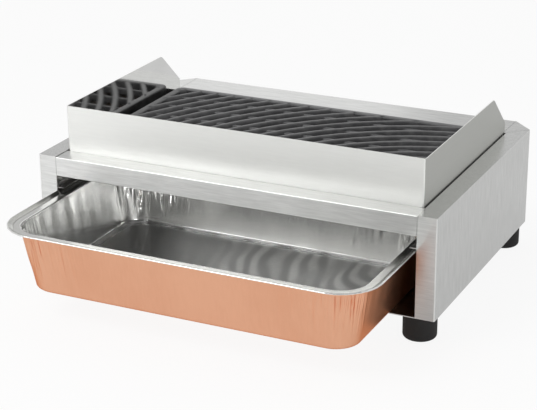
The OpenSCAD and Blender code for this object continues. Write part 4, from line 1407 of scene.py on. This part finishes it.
@dataclass
class Controls(SubAssembly):
    """Thermostat, dial, knob and pilot lamp on the back."""

    finishes: Finishes = (
        ("thermostat_body", WHITE_CERAMIC), ("thermostat_nut", TURNED_BRASS), ("dial_plate", RAIL_STEEL),
        ("sensor_bulb", TURNED_BRASS), ("capillary_tube", TURNED_BRASS), ("pilot_lamp_body", BLACK_PLASTIC),
        ("pilot_lamp_lens", AMBER_LENS), ("lamp_leads", GREY_SLEEVE), ("thermostat_spindle", PLATED_STEEL),
        ("thermostat_knob", BLACK_PLASTIC),
    )
    ticks: int = 11
    tick_inset: float = 4.0 * MM
    tick_size: Point = (0.9 * MM, 0.2 * MM, 4.0 * MM)
    tick_start: float = math.radians(-45)
    tick_sweep: float = math.radians(270)
    pointer_size: Point = (1.4 * MM, 0.3 * MM, 12 * MM)
    pointer_drop: float = 9 * MM
    pointer_edge: float = 0.1 * MM

    def build(self) -> None:
        """Make the ticks of the dial and the pointer of the knob."""
        low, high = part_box("dial_plate")
        centre = Vector(((low.x + high.x) / 2, high.y, (low.z + high.z) / 2))
        radius = (high.x - low.x) / 2 - self.tick_inset
        mesh = ring_of_ridges("dial_ticks", centre, self.ticks, radius, self.tick_start, self.tick_sweep,
                              Vector(self.tick_size), DIAL_PAINT)
        settle(new_object("dial_ticks", mesh, [DIAL_PAINT]), "housing")
        low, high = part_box("thermostat_knob")
        top = Vector((centre.x, high.y, high.z - self.pointer_drop))
        work = bmesh.new()
        bmesh.ops.create_cube(work, size=1.0)
        size = Matrix.Diagonal((*self.pointer_size, 1.0))
        bmesh.ops.transform(work, matrix=Matrix.Translation(top) @ size, verts=work.verts)
        bmesh.ops.bevel(work, geom=work.edges[:], offset=self.pointer_edge, segments=2, profile=0.5,
                        affect="EDGES")
        pointer = new_object("knob_pointer", to_mesh("knob_pointer", work), [POINTER_PAINT])
        settle(pointer, "knob")


@dataclass
class Supply(SubAssembly):
    """Cable gland, terminal block, earth stud and inner wires."""

    finishes: Finishes = (
        ("terminal_block", WHITE_CERAMIC), ("terminal_screws", TURNED_BRASS), ("earth_stud", TURNED_BRASS),
        ("earth_nuts", TURNED_BRASS), ("gland_body", BLACK_PLASTIC), ("gland_lock_nut", BLACK_PLASTIC),
        ("gland_dome_nut", BLACK_PLASTIC), ("gland_seal", SEAL_RUBBER), ("wire_live_supply", BROWN_SLEEVE),
        ("wire_live_left", BROWN_SLEEVE), ("wire_live_right", BROWN_SLEEVE),
        ("wire_neutral_left", BLUE_SLEEVE), ("wire_neutral_right", BLUE_SLEEVE), ("wire_earth", GREEN_SLEEVE),
    )


# Studio

WHITE = (1.0, 1.0, 1.0, 1.0)


def shown_to(graph: Graph, share: float) -> Signal:
    """Return 1 for camera rays, a share of it for mirrored or refracted ones, and 0 for plain light."""
    seen = graph.node("ShaderNodeLightPath", out="Is Camera Ray")
    mirrored = graph.node("ShaderNodeLightPath", out="Is Glossy Ray")
    through = graph.node("ShaderNodeLightPath", out="Is Transmission Ray")
    return seen.largest(mirrored * share).largest(through * share)


@dataclass(frozen=True)
class Softbox:
    """A square area lamp aimed at a point."""

    name: str
    place: Point
    size: float
    watts: float
    aim: Point = (0.0, 0.0, 0.1)

    def build(self) -> None:
        """Add the lamp to the scene."""
        lamp = bpy.data.lights.new(self.name, "AREA")
        lamp.shape = "SQUARE"
        lamp.size = self.size
        lamp.energy = self.watts
        holder = linked(self.name, lamp)
        holder.location = self.place
        holder.rotation_euler = (Vector(self.aim) - Vector(self.place)).to_track_quat("-Z", "Y").to_euler()


@dataclass
class Studio:
    """White sweep, soft lamps and a camera at the photograph's angle."""

    camera_place: Point = (0.92843, -1.93337, 0.93324)
    azimuth: float = 25.783
    elevation: float = 21.171
    roll: float = -0.417
    lens: float = 111.32
    sensor: float = 36.0
    floor_half: float = 12.0
    floor_tone: float = 0.95
    floor_lift: float = 0.9
    floor_mirrored: float = 0.83
    mirror_share: float = 0.75
    ambient: float = 0.63
    sky_mirrored: float = 0.73
    # The sky is dimmer behind the camera, where the right ends of the fronts mirror it
    dim_way: Point = (0.5, -0.866, 0.0)
    dim_range: tuple[float, float] = (0.50, 0.62)
    dim_share: float = 0.85
    lamps: tuple[Softbox, ...] = (
        Softbox("key_lamp", (-1.0, -1.6, 2.4), 1.8, 32.0),
        Softbox("front_lamp", (-1.8, -2.95, 0.8), 1.3, 17.0),
        Softbox("right_lamp", (2.3, -1.9, 0.5), 0.8, 19.0),
        Softbox("back_lamp", (-1.15, 2.45, 0.85), 0.8, 0.8),
        Softbox("corner_lamp", (1.25, 2.55, 1.1), 1.2, 2.4),
    )

    def build(self) -> None:
        """Make the floor, the lamps and the camera, and set the colour transform."""
        self._camera()
        self._floor()
        for lamp in self.lamps:
            lamp.build()
        bpy.context.scene.view_settings.view_transform = "Standard"

    def _camera(self) -> None:
        """Set the camera where the photograph was taken from."""
        camera = bpy.data.cameras.new("camera")
        camera.lens = self.lens
        camera.sensor_width = self.sensor
        camera.sensor_fit = "HORIZONTAL"
        holder = linked("camera", camera)
        turn = (Matrix.Rotation(math.radians(self.azimuth), 4, "Z")
                @ Matrix.Rotation(math.radians(90 - self.elevation), 4, "X")
                @ Matrix.Rotation(math.radians(self.roll), 4, "Z"))
        holder.matrix_world = Matrix.Translation(self.camera_place) @ turn
        bpy.context.scene.camera = holder

    def _floor(self) -> None:
        """Make the pale floor."""
        work = bmesh.new()
        h = self.floor_half
        work.faces.new([work.verts.new(p) for p in ((-h, -h, 0), (h, -h, 0), (h, h, 0), (-h, h, 0))])
        paint = Paint("floor_white")
        diffuse = paint.node("ShaderNodeBsdfDiffuse", None, {"Color": (*[self.floor_tone] * 3, 1.0)})
        seen = paint.node("ShaderNodeLightPath", out="Is Camera Ray")
        strength = seen * (1.0 - self.floor_mirrored) + self.floor_mirrored
        bright = paint.node("ShaderNodeEmission", None, {"Color": WHITE, "Strength": strength})
        pale = paint.node("ShaderNodeMixShader", None, {
            0: shown_to(paint, self.mirror_share) * self.floor_lift, 1: diffuse, 2: bright,
        })
        paint.node("ShaderNodeOutputMaterial", None, {"Surface": pale})
        mesh = to_mesh("floor", work)
        mesh.materials.append(paint.material)
        floor = linked("floor", mesh)

    def dress(self) -> None:
        """Light the world: white where it is seen or mirrored, softer where it only lights."""
        world = bpy.data.worlds.new("studio")
        bpy.context.scene.world = world
        world.use_nodes = True
        sky = Graph(world.node_tree)
        share = (self.sky_mirrored - self.ambient) / (1.0 - self.ambient)
        strength = shown_to(sky, share) * (1.0 - self.ambient) + self.ambient
        way = sky.node("ShaderNodeTexCoord", out="Generated")
        level = sky.vector_math("NORMALIZE", sky.vector_math("MULTIPLY", way, (1.0, 1.0, 0.0)))
        ahead = sky.vector_math("DOT_PRODUCT", level, self.dim_way, "Value")
        strength = strength * (1.0 - sky.span(ahead, *self.dim_range, 0.0, self.dim_share))
        light = sky.node("ShaderNodeBackground", None, {"Color": WHITE, "Strength": strength})
        sky.node("ShaderNodeOutputWorld", None, {"Surface": light})


def main() -> None:
    """Build the studio and every sub-assembly, in order."""
    logging.basicConfig(level=logging.INFO, format="%(name)s: %(message)s")
    for part in (Studio(), Housing(), Windscreen(), CookingGrid(), DripTray(), HeatingElements(), Controls(),
                 Supply()):
        part.build()
        part.dress()


if __name__ == "__main__":
    main()
